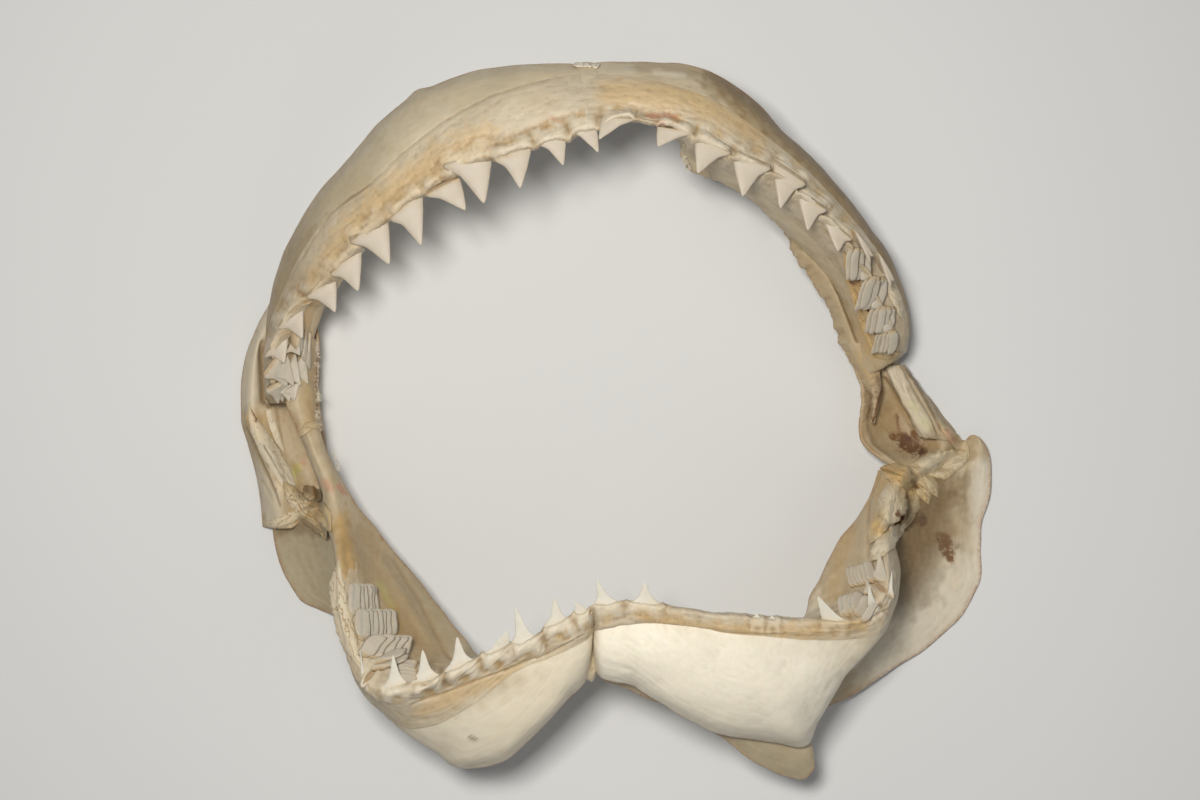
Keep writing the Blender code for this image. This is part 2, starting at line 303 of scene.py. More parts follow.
@dataclass(frozen=True)
class Stroke:
    """A ridge, or a groove if its height in millimetres is below 0, along a line of the picture."""

    path: tuple[Place, ...]
    width: float
    height: float

    def lift(self, seen: Array) -> Array:
        """How far the stroke lifts each picture place, in millimetres."""
        return self.height * np.exp(-((distance_to(self.path, seen) / self.width) ** 2))


@dataclass(frozen=True)
class Stain:
    """A tinted patch along a line of the picture, with a ragged edge."""

    FADES_FROM: ClassVar[float] = 0.35  # of the width
    SOFTNESS: ClassVar[float] = 0.8

    tint: Tint
    path: tuple[Place, ...]
    width: float
    strength: float = 1.0
    ragged: float = 0.6

    def cover(self, seen: Array, rough: Array) -> Array:
        """How strongly the stain shows at each place, with noise that breaks up its edge."""
        near = distance_to(self.path, seen) * (1 + self.ragged * rough)
        return self.strength * np.clip(1 + self.FADES_FROM - near / self.width, 0, 1) ** self.SOFTNESS


def strokes(table: str) -> tuple[Stroke, ...]:
    """Strokes, with width and height as the head."""
    return tuple(Stroke(points, *map(float, head)) for head, points in read(table))


def stains(table: str) -> tuple[Stain, ...]:
    """Stains, with tint, width, strength and raggedness as the head."""
    return tuple(Stain(Tint(head[0]), points, *map(float, head[1:])) for head, points in read(table))


def stained(found: Sequence[Stain], seen: Array, rough: Array, marks: dict[str, Array]) -> None:
    """Lays stains over the marks of a surface, the strongest on top.

    Args:
        found: The stains.
        seen: Picture places of the surface.
        rough: Noise that breaks up their edges.
        marks: Strengths by tint, which are changed.
    """
    for stain in found:
        name = stain.tint.value
        marks[name] = np.maximum(marks[name], stain.cover(seen, rough))


# ---- meshes


@dataclass
class Build:
    """A mesh that grows from parts, each with the same vertex attributes."""

    verts: list = field(default_factory=list)
    faces: list = field(default_factory=list)
    marks: list = field(default_factory=list)
    size: int = 0

    def add(self, verts: Array, faces: Iterable, marks: dict[str, Array]) -> None:
        """Adds a part.

        Args:
            verts: Points in millimetres.
            faces: Corner indices of each face.
            marks: Attribute values by name.
        """
        self.verts.append(verts)
        self.faces += [tuple(int(i) + self.size for i in face) for face in faces]
        full = {name: np.zeros(len(verts)) for name in TINTS + EXTRAS}
        full["flow"] = np.zeros((len(verts), 3))
        full.update(marks)
        self.marks.append(full)
        self.size += len(verts)

    def done(self, name: str, material: Material) -> Thing:
        """Makes the object.

        Args:
            name: Its name.
            material: Its finish.

        Returns:
            The object, at the origin.
        """
        mesh = bpy.data.meshes.new(name)
        mesh.from_pydata((np.concatenate(self.verts) * MM).tolist(), [], self.faces)
        for key in TINTS + EXTRAS:
            layer = mesh.attributes.new(key, "FLOAT", "POINT")
            values = np.concatenate([part[key] for part in self.marks])
            layer.data.foreach_set("value", values.astype(np.float32))
        flow = mesh.attributes.new("flow", "FLOAT_VECTOR", "POINT")
        values = np.concatenate([part["flow"] for part in self.marks]) * MM
        flow.data.foreach_set("vector", values.astype(np.float32).ravel())
        mesh.shade_smooth()
        mesh.materials.append(material)
        mesh.validate()
        obj = bpy.data.objects.new(name, mesh)
        bpy.context.scene.collection.objects.link(obj)
        return obj


def grid_normals(points: Array, like: Array | None = None) -> Array:
    """Unit normals of a grid of points.

    Args:
        points: The grid.
        like: Normals of ten of its columns, from the third, that set which side is out.

    Returns:
        The normals, which face up where no others are given.
    """
    along = np.gradient(points, axis=0)
    across = np.gradient(points, axis=1)
    normals = np.cross(along, across)
    normals /= np.maximum(np.linalg.norm(normals, axis=-1, keepdims=True), 1e-9)
    same = normals[..., 2] if like is None else (normals[:, 2:12] * like).sum(-1)
    return normals if same.mean() > 0 else -normals


def blurred(grid: Array, reach: int) -> Array:
    """A grid of numbers or vectors averaged over its neighbours.

    Args:
        grid: The grid.
        reach: How many times.

    Returns:
        The softened grid.
    """
    for _ in range(reach):
        for axis in (0, 1):
            padded = np.concatenate((grid.take([0], axis), grid, grid.take([-1], axis)), axis)
            low = padded.take(range(0, grid.shape[axis]), axis)
            high = padded.take(range(2, grid.shape[axis] + 2), axis)
            grid = (low + 2 * grid + high) / 4
    return grid


def along(values: Array) -> Array:
    """Places for noise that changes along one line only."""
    return np.stack((values, values * 0, values * 0), axis=-1)


@dataclass
class Shell:
    """A closed wall lofted through rows of drawn points.

    Each row is an angle and then pairs of seen radius and height, from the outer edge to the
    inner one. A third number in a pair turns that point by some degrees more. Sizes are in mm.

    Attributes:
        rows: The drawn rows.
        counts: Fine points in each span between two drawn points.
        walls: Thickness at even steps across the wall.
        step: Degrees between two fine rows.
        waves, grain: Height of the slow waves and of the fine grain.
        rim, rim_width: Strength and width of the brown rim.
        ragged: How torn the outer and the inner edge are.
        age: How tan the low parts are, painted shade that grows towards the floor.
        feather: Share of the thickness that is left at the two ends.
        laid: Front points and normals, once the wall is closed.
    """

    ROW_WIDTH: ClassVar[float] = 2.6  # mm for one degree
    END_TAPER: ClassVar[float] = 4.0
    TEAR: ClassVar[float] = 9.0  # fine points
    SMOOTHING: ClassVar[int] = 6
    EDGE_FADE: ClassVar[float] = 2.5
    HOLLOW: ClassVar[tuple[int, float]] = (10, 3.0)  # fine points, strength for one mm
    ARC: ClassVar[float] = 150.0  # mm for one radian
    DEPTH_SHADE_BELOW: ClassVar[float] = 95.0
    SLOW: ClassVar[Noise] = Noise(26.0, 2, 7)  # shared, so that neighbours meet
    BACK_LUMPS: ClassVar[float] = 0.35  # mm

    rows: tuple[Row, ...]
    counts: tuple[int, ...]
    walls: tuple[float, ...]
    step: float = 0.36
    waves: float = 0.7
    grain: float = 0.16
    seed: int = 1
    strokes: tuple[Stroke, ...] = ()
    stains: tuple[Stain, ...] = ()
    rim: float = 1.0
    rim_width: float = 1.6
    ragged: tuple[float, float] = (0.0, 0.0)
    age: float = 0.75
    feather: float = 0.45
    laid: tuple = ()

    def angles(self) -> Array:
        """Angles of the fine rows."""
        first, last = min(r[0] for r in self.rows), max(r[0] for r in self.rows)
        return np.linspace(first, last, int(math.ceil((last - first) / self.step)) + 1)

    def section(self, angles: Array) -> tuple[Array, Array]:
        """Fine rows of points.

        Args:
            angles: Angles of the rows, in degrees.

        Returns:
            Radius and height of each point in millimetres, and the extra turns.
        """
        ordered = sorted(self.rows)
        knots = np.array([row[0] for row in ordered])
        drawn = np.array([[(*p, 0.0)[:3] for p in row[1:]] for row in ordered])
        fine = smooth_between(knots, drawn, angles)
        radius = fine[..., 0] * unit_at(fine[..., 1])
        curve = curve_through(np.stack((radius, fine[..., 1]), axis=-1), self.counts)
        turns = np.stack([np.interp(self.share(), range(fine.shape[1]), row) for row in fine[..., 2]])
        return curve, turns

    def share(self) -> Array:
        """Place of each fine point across the wall, in drawn points."""
        spans = [np.arange(count) / count + i for i, count in enumerate(self.counts)]
        return np.concatenate(spans + [[len(self.counts)]])

    def front(self) -> tuple[Array, Array]:
        """The fine front surface before its relief.

        Returns:
            Points in millimetres, and their normals.
        """
        angles = self.angles()
        curve, turns = self.section(angles)
        if any(self.ragged):
            noise = Noise(3.5, 3, self.seed + 40)
            for end, amount in zip((0, -1), self.ragged):
                wobble = amount * noise.at(along(angles * 1.7))
                reach = np.exp(-((np.arange(curve.shape[1]) / self.TEAR) ** 2))
                reach = reach if end == 0 else reach[::-1]
                curve[..., 0] += wobble[:, None] * reach
        points = turned(curve, np.radians(angles[:, None] + turns))
        return points, grid_normals(points)

    def flow(self, points: Array) -> Array:
        """Place of each point along and across the surface, in millimetres.

        Args:
            points: Points of the surface, in millimetres.

        Returns:
            The places, with nought as the third measure.
        """
        steps = np.linalg.norm(np.diff(points, axis=1), axis=-1)
        across = np.concatenate((np.zeros((len(points), 1)), np.cumsum(steps, axis=1)), axis=1)
        far = np.radians(self.angles())[:, None] * self.ARC + across * 0
        return np.stack((far, across, across * 0), axis=-1)

    def relief(self, points: Array, seen: Array, flow: Array) -> Array:
        """Lift of the front surface by its strokes and grain, in millimetres.

        Args:
            points: Points of the surface, in millimetres.
            seen: Their picture places.
            flow: Their places along and across the surface.

        Returns:
            The lift of each point.
        """
        lift = self.grain * Noise(5.0, 4, self.seed + 3).at(points)
        lift += self.grain * 0.8 * Noise(4.0, 3, self.seed + 9).at(flow, (3.5, 0.7, 1))
        for stroke in self.strokes:
            lift += stroke.lift(seen)
        return lift

    def close(self, build: Build) -> None:
        """Adds the finished wall to a mesh and keeps its front for what lies on it.

        Args:
            build: The mesh.
        """
        points, normals = self.front()
        points = points + normals * (self.waves * self.SLOW.at(points))[..., None]
        flow = self.flow(points)
        seen = seen_of(points)
        soft = blurred(normals, self.SMOOTHING)
        soft /= np.linalg.norm(soft, axis=-1, keepdims=True)
        wall = np.interp(self.share(), range(len(self.walls)), self.walls)
        n = len(points)
        ends = np.minimum(np.arange(n), np.arange(n)[::-1]) * self.step * self.ROW_WIDTH
        full = self.feather + (1 - self.feather) * np.clip(ends / self.END_TAPER, 0, 1) ** 0.5
        wall = wall[None, :] * full[:, None]
        back = points - soft * wall[..., None]
        lumps = Noise(9.0, 3, self.seed + 21).at(back)
        back += soft * (self.BACK_LUMPS * lumps)[..., None]
        edge = np.minimum(flow[..., 1], flow[:, -1:, 1] - flow[..., 1])
        lift = self.relief(points, seen, flow)
        fade = np.clip(edge / self.EDGE_FADE, 0.25, 1)
        points = points + normals * (lift * fade)[..., None]
        points[..., 2] = np.maximum(points[..., 2], 0.0)
        back[..., 2] = np.maximum(back[..., 2], 0.0)
        marks = self.tints(points, seen)
        marks["rim"] = self.rim * np.exp(-((edge / self.rim_width) ** 2))
        # Painted shade in the hollows of the front.
        reach, strength = self.HOLLOW
        hollow = blurred(points, reach) - points
        marks["dent"] = np.clip((hollow * normals).sum(-1) * strength, 0, 1)
        marks["flow"] = flow
        verts, faces, flat = join_sides(points, back, normals, marks)
        build.add(verts, faces, flat)
        self.laid = (points, grid_normals(points, normals[:, 2:12]))

    def tints(self, points: Array, seen: Array) -> dict[str, Array]:
        """Strength of each tint at each point of the front.

        Args:
            points: Points of the surface, in millimetres.
            seen: Their picture places.

        Returns:
            The strengths by the tint's name.
        """
        marks = {name: np.zeros(points.shape[:2]) for name in TINTS}
        rough = Noise(6.0, 4, self.seed + 31).at(points)
        # Painted shade: tan that grows towards the floor, where the low parts lie farther from the light.
        low = 1 - points[..., 2] / self.DEPTH_SHADE_BELOW
        marks["tan"] = np.clip(low + 0.25 * rough, 0, 1) * self.age
        stained(self.stains, seen, rough, marks)
        return marks


RIM_TURNS = (45, 90, 135)  # degrees round the rim from front to back
RIM_BULGE = 0.75
BACK_MARKS = 0.35  # strength of the tints on the back


def join_sides(
    front: Array, back: Array, normals: Array, marks: dict[str, Array]
) -> tuple[Array, list, dict[str, Array]]:
    """A closed mesh of a front and a back grid with a round rim between them.

    Args:
        front: Front points.
        back: Back points.
        normals: Normals of the front.
        marks: Attribute grids of the front.

    Returns:
        Vertices, faces and flat attributes.
    """
    n, m = front.shape[:2]
    index = np.arange(n * m).reshape(n, m)
    loop = np.concatenate((index[:, 0], index[-1, 1:], index[::-1, -1][1:], index[0, ::-1][1:-1]))
    inside = np.concatenate((index[:, 1], index[-2, 1:], index[::-1, -2][1:], index[1, ::-1][1:-1]))
    f, b, nor = front.reshape(-1, 3), back.reshape(-1, 3), normals.reshape(-1, 3)
    out = f[loop] - f[inside]
    for i, row in ((0, 1), (n - 1, n - 2)):
        for j, column in ((0, 1), (m - 1, m - 2)):
            out[loop == index[i, j]] = front[i, j] - front[row, column]
    out -= (out * nor[loop]).sum(-1, keepdims=True) * nor[loop]
    out /= np.maximum(np.linalg.norm(out, axis=-1, keepdims=True), 1e-9)
    middle, half = (f[loop] + b[loop]) / 2, (f[loop] - b[loop]) / 2
    bulge = np.linalg.norm(half, axis=-1, keepdims=True) * RIM_BULGE
    verts, rings = [f, b], [loop]
    for turn in RIM_TURNS:
        ring = middle + half * math.cos(math.radians(turn)) + out * bulge * math.sin(math.radians(turn))
        ring[:, 2] = np.maximum(ring[:, 2], 0.0)
        rings.append(np.arange(len(loop)) + 2 * n * m + (len(rings) - 1) * len(loop))
        verts.append(ring)
    rings.append(loop + n * m)
    i, j = index[:-1, :-1].ravel(), index[1:, :-1].ravel()
    k, l = index[1:, 1:].ravel(), index[:-1, 1:].ravel()
    faces = np.stack((i, j, k, l), axis=1)
    one = np.cross(front[1, 0] - front[0, 0], front[0, 1] - front[0, 0])
    upright = one @ normals[0, 0] > 0
    faces = faces if upright else faces[:, ::-1]
    whole = [faces, faces[:, ::-1] + n * m]
    after = np.roll(np.arange(len(loop)), -1)
    for low, high in zip(rings, rings[1:]):
        strip = np.stack((low, high, high[after], low[after]), axis=1)
        whole.append(strip if upright else strip[:, ::-1])
    flat = {}
    for name, grid in marks.items():
        values = grid.reshape(n * m, *grid.shape[2:])
        rim = np.concatenate([values[loop]] * len(RIM_TURNS))
        behind = values if name == "flow" else values * BACK_MARKS
        flat[name] = np.concatenate((values, behind, rim))
    flat["rim"][2 * n * m :] = np.maximum(flat["rim"][2 * n * m :], flat["rim"].max())
    return np.concatenate(verts), np.concatenate(whole).tolist(), flat


# ---- gum


@dataclass(frozen=True)
class Hump:
    """A hump of height 1 about a tooth.

    Attributes:
        place, width: Along the tooth's base, from its middle, in widths of the tooth.
        into, depth: Into the gum, in tens of units.
        steep: Whether it has a flat top and steep sides, along and into.
        bow: How far its ends bend towards the tooth.
    """

    place: float
    width: float
    into: float
    depth: float
    steep: tuple[bool, bool] = (False, False)
    bow: float = 0.0

    def at(self, side: Array, into: Array) -> Array:
        """Its height at places about the tooth.

        Args:
            side: Places along the tooth's base.
            into: Places into the gum.

        Returns:
            The heights there.
        """
        first, second = (4 if steep else 2 for steep in self.steep)
        along_base = np.exp(-(((side - self.place) / self.width) ** first))
        bowed = into + self.bow * side * side
        return along_base * np.exp(-(((bowed - self.into) / self.depth) ** second))


@dataclass(frozen=True)
class Seat:
    """Where a tooth stands in the gum: its corners in the picture and its reach in degrees."""

    WIDE: ClassVar[float] = 40.0  # units, a full crown
    DEEP: ClassVar[float] = 10.0
    MOST: ClassVar[float] = 1.2

    mesial: Array
    tip: Array
    distal: Array
    middle: float
    reach: float
    strength: float = 1.0

    @classmethod
    def of(cls, tooth: "Tooth") -> "Seat":
        """The seat of a tooth.

        Args:
            tooth: The tooth.

        Returns:
            Its seat.
        """
        mesial, tip, distal = (np.array(p, float) for p in tooth.corners)
        rays = [(corner - GAPE_SEEN) * (1, -1) for corner in (mesial, distal)]
        turns = [math.degrees(math.atan2(y, x)) % 360 for x, y in rays]
        return cls(mesial, tip, distal, sum(turns) / 2, abs(turns[0] - turns[1]) / 2)


@dataclass
class GumBand(Shell):
    """Dried gum laid over the crest of a wall.

    Its rows give the seen radius where it starts, that of its margin and the margin's height.

    Attributes:
        over: The wall.
        seats: The teeth that it holds.
        end_share: Where it ends behind the crest, in drawn points of the wall.
        swell, lip, bed: Height over the wall near the margin, at the start and added at the teeth.
        laid_over: Fine points between the start and the crest.
        recess: How far the margin draws back at a tooth, in picture units.
        sculpt, root_tint: Strength of the relief and of the pale tint about the roots.
        tapers: Which ends thin out.
    """

    CREST: ClassVar[float] = 2.8  # drawn points of the wall
    TAPER: ClassVar[float] = 9.0
    THIN_END: ClassVar[float] = 0.1
    KNEE: ClassVar[tuple[float, float, float]] = (0.4, 1.3, 0.5)
    SOFTENED: ClassVar[tuple[int, int]] = (6, 4)  # times, points each side of the crest
    NEAR: ClassVar[Hump] = Hump(0.0, 0.8, 0.0, 1.8)
    RELIEF: ClassVar[tuple[tuple[float, Hump], ...]] = (
        (0.8, Hump(0.0, 0.52, 0.2, 0.95, (True, True))),  # the root
        (1.0, Hump(0.31, 0.15, 0.75, 0.7)),  # its lobes
        (-0.7, Hump(0.0, 0.16, 1.1, 0.5)),  # the hollow between them
        (-0.4, Hump(0.0, 0.6, 1.75, 0.2, (True, False), bow=1.2)),  # the fold behind them
        (-0.5, Hump(0.56, 0.05, 0.3, 0.8)),  # the creases at its sides
    )
    ROOT: ClassVar[Hump] = Hump(0.0, 0.48, 0.2, 0.7, (True, True))
    LOBES: ClassVar[Hump] = Hump(0.33, 0.14, 0.9, 0.6)
    PIT: ClassVar[Hump] = Hump(0.0, 0.22, 1.25, 0.45)
    CREASES: ClassVar[Hump] = Hump(0.58, 0.07, 0.4, 0.8)
    GAPS: ClassVar[Hump] = Hump(0.62, 0.12, -0.1, 0.6)

    counts: tuple[int, ...] = (16, 14, 10)
    walls: tuple[float, ...] = (0.6, 1.2, 1.8, 2.4, 2.6, 0.8)
    step: float = 0.22
    waves: float = 0.4
    grain: float = 0.22
    over: Shell | None = None
    seats: tuple[Seat, ...] = ()
    end_share: float = 4.3
    swell: float = 1.5
    lip: float = 0.35
    laid_over: int = 34
    recess: float = 8.0
    bed: float = 1.8
    feather: float = 0.15
    sculpt: float = 0.55
    root_tint: float = 0.35
    tapers: tuple[bool, bool] = (True, True)

    def share(self) -> Array:
        """Place of each fine point across the band."""
        lower = np.linspace(0, 2, self.laid_over)
        return np.concatenate((lower[:-1], 2 + super().share()))

    def front(self) -> tuple[Array, Array]:
        """The band's surface: over the wall first, then round its margin to the back.

        Returns:
            The points in millimetres and their normals.
        """
        assert self.over is not None
        points, normals = self.over.laid
        wall_angles, angles = self.over.angles(), self.angles()
        at = np.interp(angles, wall_angles, range(len(wall_angles)))
        low = np.minimum(at.astype(int), len(points) - 2)
        part = (at - low)[:, None, None]
        share = self.over.share()
        crest = int(np.searchsorted(share, self.CREST))
        wall = points[low] * (1 - part) + points[low + 1] * part
        face = normals[low] * (1 - part) + normals[low + 1] * part
        seen = np.linalg.norm(seen_of(wall) - GAPE_SEEN, axis=-1)[:, : crest + 1]
        turn = np.radians(angles)[:, None]
        ray = np.stack((np.cos(turn), np.sin(turn)), axis=-1)
        radius = ((wall[..., :2] - GAPE_AXIS) * ray).sum(-1)
        flat = np.stack((radius, wall[..., 2] + FLOOR), axis=-1)
        up = np.stack(((face[..., :2] * ray).sum(-1), face[..., 2]), axis=-1)
        start, margin, top = self.drawn(angles)
        ramp = np.linspace(0, 1, self.laid_over)
        lift = self.lip + (self.swell - self.lip) * ramp * ramp * (3 - 2 * ramp) + self.bed * ramp**3
        full = self.fullness(len(angles))
        down, out, inner = self.KNEE
        curves = []
        for i in range(len(angles)):
            widest = seen[i].argmax()
            first = np.interp(-start[i], -seen[i, widest:], range(widest, crest + 1))
            index = first + (crest - first) * ramp
            over, away = (
                np.stack([np.interp(index, range(crest + 1), grid[i, : crest + 1, k]) for k in (0, 1)], -1)
                for grid in (flat, up)
            )
            over = over + away * lift[:, None] * full[i]
            end = np.array([np.interp(self.end_share, share, flat[i, :, k]) for k in (0, 1)])
            edge = np.array((margin[i] * unit_at(top[i]), top[i]))
            edge = flat[i, crest] + (edge - flat[i, crest]) * full[i]
            fall = end - edge
            inward = np.array((fall[1], -fall[0])) / np.linalg.norm(fall) * full[i]
            knee = edge + down * fall + out * self.swell * inward
            curves.append((over, np.stack((over[-1], edge, knee, end + inner * inward))))
        lower = np.stack([c[0] for c in curves])
        upper = curve_through(np.stack([c[1] for c in curves]), self.counts)
        both = np.concatenate((lower[:, :-1], upper), axis=1)
        times, reach = self.SOFTENED
        first, last = self.laid_over - reach, self.laid_over + reach
        for _ in range(times):
            both[:, first:last] = (both[:, first - 1 : last - 1] + both[:, first + 1 : last + 1]) / 2
        found = turned(both, turn)
        return found, grid_normals(found, face[:, crest - 10 : crest])

    def drawn(self, angles: Array) -> tuple[Array, Array, Array]:
        """Radius where the band starts, radius of its margin and the margin's height.

        Args:
            angles: Angles of the fine rows, in degrees.

        Returns:
            The three measures of each row.
        """
        ordered = sorted(self.rows)
        knots = np.array([row[0] for row in ordered])
        start, margin, top = smooth_between(knots, np.array([row[1] for row in ordered]), angles).T
        return start, margin + self.scallops(angles), top

    def fullness(self, count: int) -> Array:
        """Share of its height that each fine row keeps, which is less towards a tapered end.

        Args:
            count: Number of fine rows.

        Returns:
            The shares.
        """
        far = np.full(count, self.TAPER / (self.step * self.ROW_WIDTH))
        for tapered, order in zip(self.tapers, (1, -1)):
            if tapered:
                far = np.minimum(far, np.arange(count)[::order])
        whole = np.clip(far * self.step * self.ROW_WIDTH / self.TAPER, 0, 1) ** 0.7
        return self.THIN_END + (1 - self.THIN_END) * whole

    def scallops(self, angles: Array) -> Array:
        """How far the margin draws back at each tooth, in picture units.

        Args:
            angles: Angles of the fine rows, in degrees.

        Returns:
            The setback of each row.
        """
        ragged = Noise(2.0, 3, self.seed + 8).at(along(angles * self.ROW_WIDTH))
        back = 1.6 * ragged - 1.0
        for seat in self.seats:
            across = (angles - seat.middle) / max(seat.reach, 0.5)
            bow = self.recess * np.clip(1 - across**2, 0, 1) ** 0.6 * min(seat.strength * 2, 1)
            back = np.maximum(back, bow + 0.8 * ragged)
        return back

    @staticmethod
    def about(seat: Seat, seen: Array) -> tuple[Array, Array, float]:
        """Places about a tooth: along its base in widths, into the gum in tens of units, its size.

        Args:
            seat: Seat of the tooth.
            seen: Picture places.

        Returns:
            The two places and the size.
        """
        middle = (seat.mesial + seat.distal) / 2
        width = np.linalg.norm(seat.distal - seat.mesial)
        base = (seat.distal - seat.mesial) / width
        out = middle - seat.tip
        out -= (out @ base) * base
        out /= np.linalg.norm(out) + 1e-9
        away = seen - middle
        size = min(width / seat.WIDE, seat.MOST)
        return (away @ base) / width, (away @ out) / seat.DEEP, seat.strength * size

    def relief(self, points: Array, seen: Array, flow: Array) -> Array:
        """Lift of the gum: its wrinkles, and the roots and folds about each tooth.

        Args:
            points: Points of the surface, in millimetres.
            seen: Their picture places.
            flow: Their places along and across the surface.

        Returns:
            The lift of each point.
        """
        lift = super().relief(points, seen, flow)
        folds = 0.3 * Noise(3.6, 4, self.seed + 5).at(flow, (0.6, 2.0, 1))
        folds += 0.7 * Noise(4.2, 4, self.seed + 6).at(flow, (2.4, 0.8, 1))
        near_all = np.zeros(lift.shape)
        for seat in self.seats:
            u, v, size = self.about(seat, seen)
            side = np.abs(u)
            shape = sum(height * hump.at(side, v) for height, hump in self.RELIEF)
            lift += size * self.sculpt * shape
            near_all = np.maximum(near_all, self.NEAR.at(side, v))
        return lift + 0.45 * folds * near_all + 0.14 * folds

    def tints(self, points: Array, seen: Array) -> dict[str, Array]:
        """The stains, with pale roots, honey hollows and painted shade in the creases about the teeth.

        Args:
            points: Points of the surface, in millimetres.
            seen: Their picture places.

        Returns:
            The strengths by the tint's name.
        """
        marks = super().tints(points, seen)
        rough = Noise(3.0, 3, self.seed + 33).at(points)
        for seat in self.seats:
            u, v, _ = self.about(seat, seen)
            u, v = u + 0.09 * rough, v + 0.45 * rough
            side = np.abs(u)
            crease = self.CREASES.at(side, v)
            tints = (
                (PALE, self.root_tint * np.maximum(self.ROOT.at(side, v), self.LOBES.at(side, v))),
                (HONEY, 0.6 * self.PIT.at(side, v) + 0.3 * crease),
                (TAN, 0.4 * self.GAPS.at(side, v)),
                (SHADE, 0.2 * crease),
            )
            for tint, cover in tints:
                mark = marks[tint.value]
                np.maximum(mark, seat.strength * np.clip(cover, 0, 1), out=mark)
        return marks


# ---- finishes


class Graph:
    """A small helper that adds and links the nodes of one tree."""

    def __init__(self, tree: Tree) -> None:
        """Starts on a tree."""
        self.tree = tree

    def add(self, kind: str, **values: object) -> bpy.types.Node:
        """Adds a node.

        Args:
            kind: Its type.
            values: Properties by name; "i_3" sets input 3, and a socket links to it.

        Returns:
            The node.
        """
        node = self.tree.nodes.new(kind)
        late = {}
        for key, value in values.items():
            if key.startswith("i_"):
                late[key[2:]] = value
            else:
                setattr(node, key, value)
        for key, value in late.items():
            socket = node.inputs[int(key)] if key.isdigit() else node.inputs[key.replace("_", " ")]
            if isinstance(value, Socket):
                self.tree.links.new(value, socket)
            else:
                socket.default_value = value
        return node

    def mix(self, factor: object, first: object, second: object) -> Socket:
        """Two colours mixed."""
        return self.add("ShaderNodeMix", data_type="RGBA", i_0=factor, i_6=first, i_7=second).outputs[2]

    def plus(self, first: object, second: object, clamp: bool = True) -> Socket:
        """The sum of two numbers, kept from 0 to 1 unless told otherwise."""
        return self.add("ShaderNodeMath", use_clamp=clamp, i_0=first, i_1=second).outputs[0]

    def times(self, first: object, second: object) -> Socket:
        """The product of two numbers, kept from 0 to 1."""
        node = self.add("ShaderNodeMath", operation="MULTIPLY", use_clamp=True, i_0=first, i_1=second)
        return node.outputs[0]

    def noise(self, at: object, scale: float, detail: float = 4.0, rough: float = 0.55) -> Socket:
        """Noise of a scale in lumps per metre."""
        node = self.add("ShaderNodeTexNoise", i_Vector=at, i_Scale=scale, i_Detail=detail, i_Roughness=rough)
        return node.outputs["Fac"]

    def place(self) -> Socket:
        """Object coordinates."""
        return self.add("ShaderNodeTexCoord").outputs["Object"]

    def vectors(self, operation: str, first: object, **inputs: object) -> bpy.types.Node:
        """A vector maths node."""
        return self.add("ShaderNodeVectorMath", operation=operation, i_0=first, **inputs)

    def spread(self, value: object, low: float, high: float) -> Socket:
        """Stretches a range of a value to 0 to 1."""
        return self.add("ShaderNodeMapRange", i_0=value, i_1=low, i_2=high).outputs[0]

    def mark(self, name: str) -> Socket:
        """Reads a vertex attribute."""
        return self.add("ShaderNodeAttribute", attribute_name=name).outputs["Fac"]


def group(
    kind: str, name: str, inputs: dict[str, tuple[str, object]], output: tuple[str, str]
) -> tuple[Graph, Sequence[Socket], Socket]:
    """Starts a node group with one output.

    Args:
        kind: "Shader" or "Geometry".
        name: Its name.
        inputs: Socket kind and default by name.
        output: The output's name and kind.

    Returns:
        Its graph, its inputs by name and its output.
    """
    tree = bpy.data.node_groups.new(name, f"{kind}NodeTree")
    for key, (socket_kind, default) in inputs.items():
        socket = tree.interface.new_socket(key, in_out="INPUT", socket_type=f"NodeSocket{socket_kind}")
        if default is not None:
            socket.default_value = default
    tree.interface.new_socket(output[0], in_out="OUTPUT", socket_type=f"NodeSocket{output[1]}")
    graph = Graph(tree)
    return graph, graph.add("NodeGroupInput").outputs, graph.add("NodeGroupOutput").inputs[0]


def new_material(name: str) -> tuple[Material, Graph, Sequence[Socket]]:
    """Starts a material: itself, its graph and the inputs of its shader.

    Args:
        name: The material's name.

    Returns:
        The three of them.
    """
    material = bpy.data.materials.new(name)
    material.use_nodes = True
    return material, Graph(material.node_tree), material.node_tree.nodes["Principled BSDF"].inputs


def set_all(inputs: Sequence[Socket], values: dict[str, object]) -> None:
    """Sets sockets by name."""
    for name, value in values.items():
        inputs[name].default_value = value


PAINTS = {
    HONEY: (0.62, 0.40, 0.15, 1),
    TAN: (0.31, 0.20, 0.08, 1),
    GREY: (0.37, 0.315, 0.205, 1),
    LIME: (0.46, 0.42, 0.13, 1),
    PALE: (0.88, 0.82, 0.68, 1),
    RED: (0.55, 0.16, 0.08, 1),
    BROWN: (0.20, 0.10, 0.045, 1),
    PLUM: (0.10, 0.045, 0.03, 1),
    SHADE: (0.13, 0.085, 0.04, 1),
}
CRISP = (BROWN, PLUM)
# Colour of the painted shade in hollows and creases.
HOLLOW_SHADE_COLOUR: Colour = (0.30, 0.17, 0.06, 1)
RIM: Colour = (0.36, 0.16, 0.075, 1)


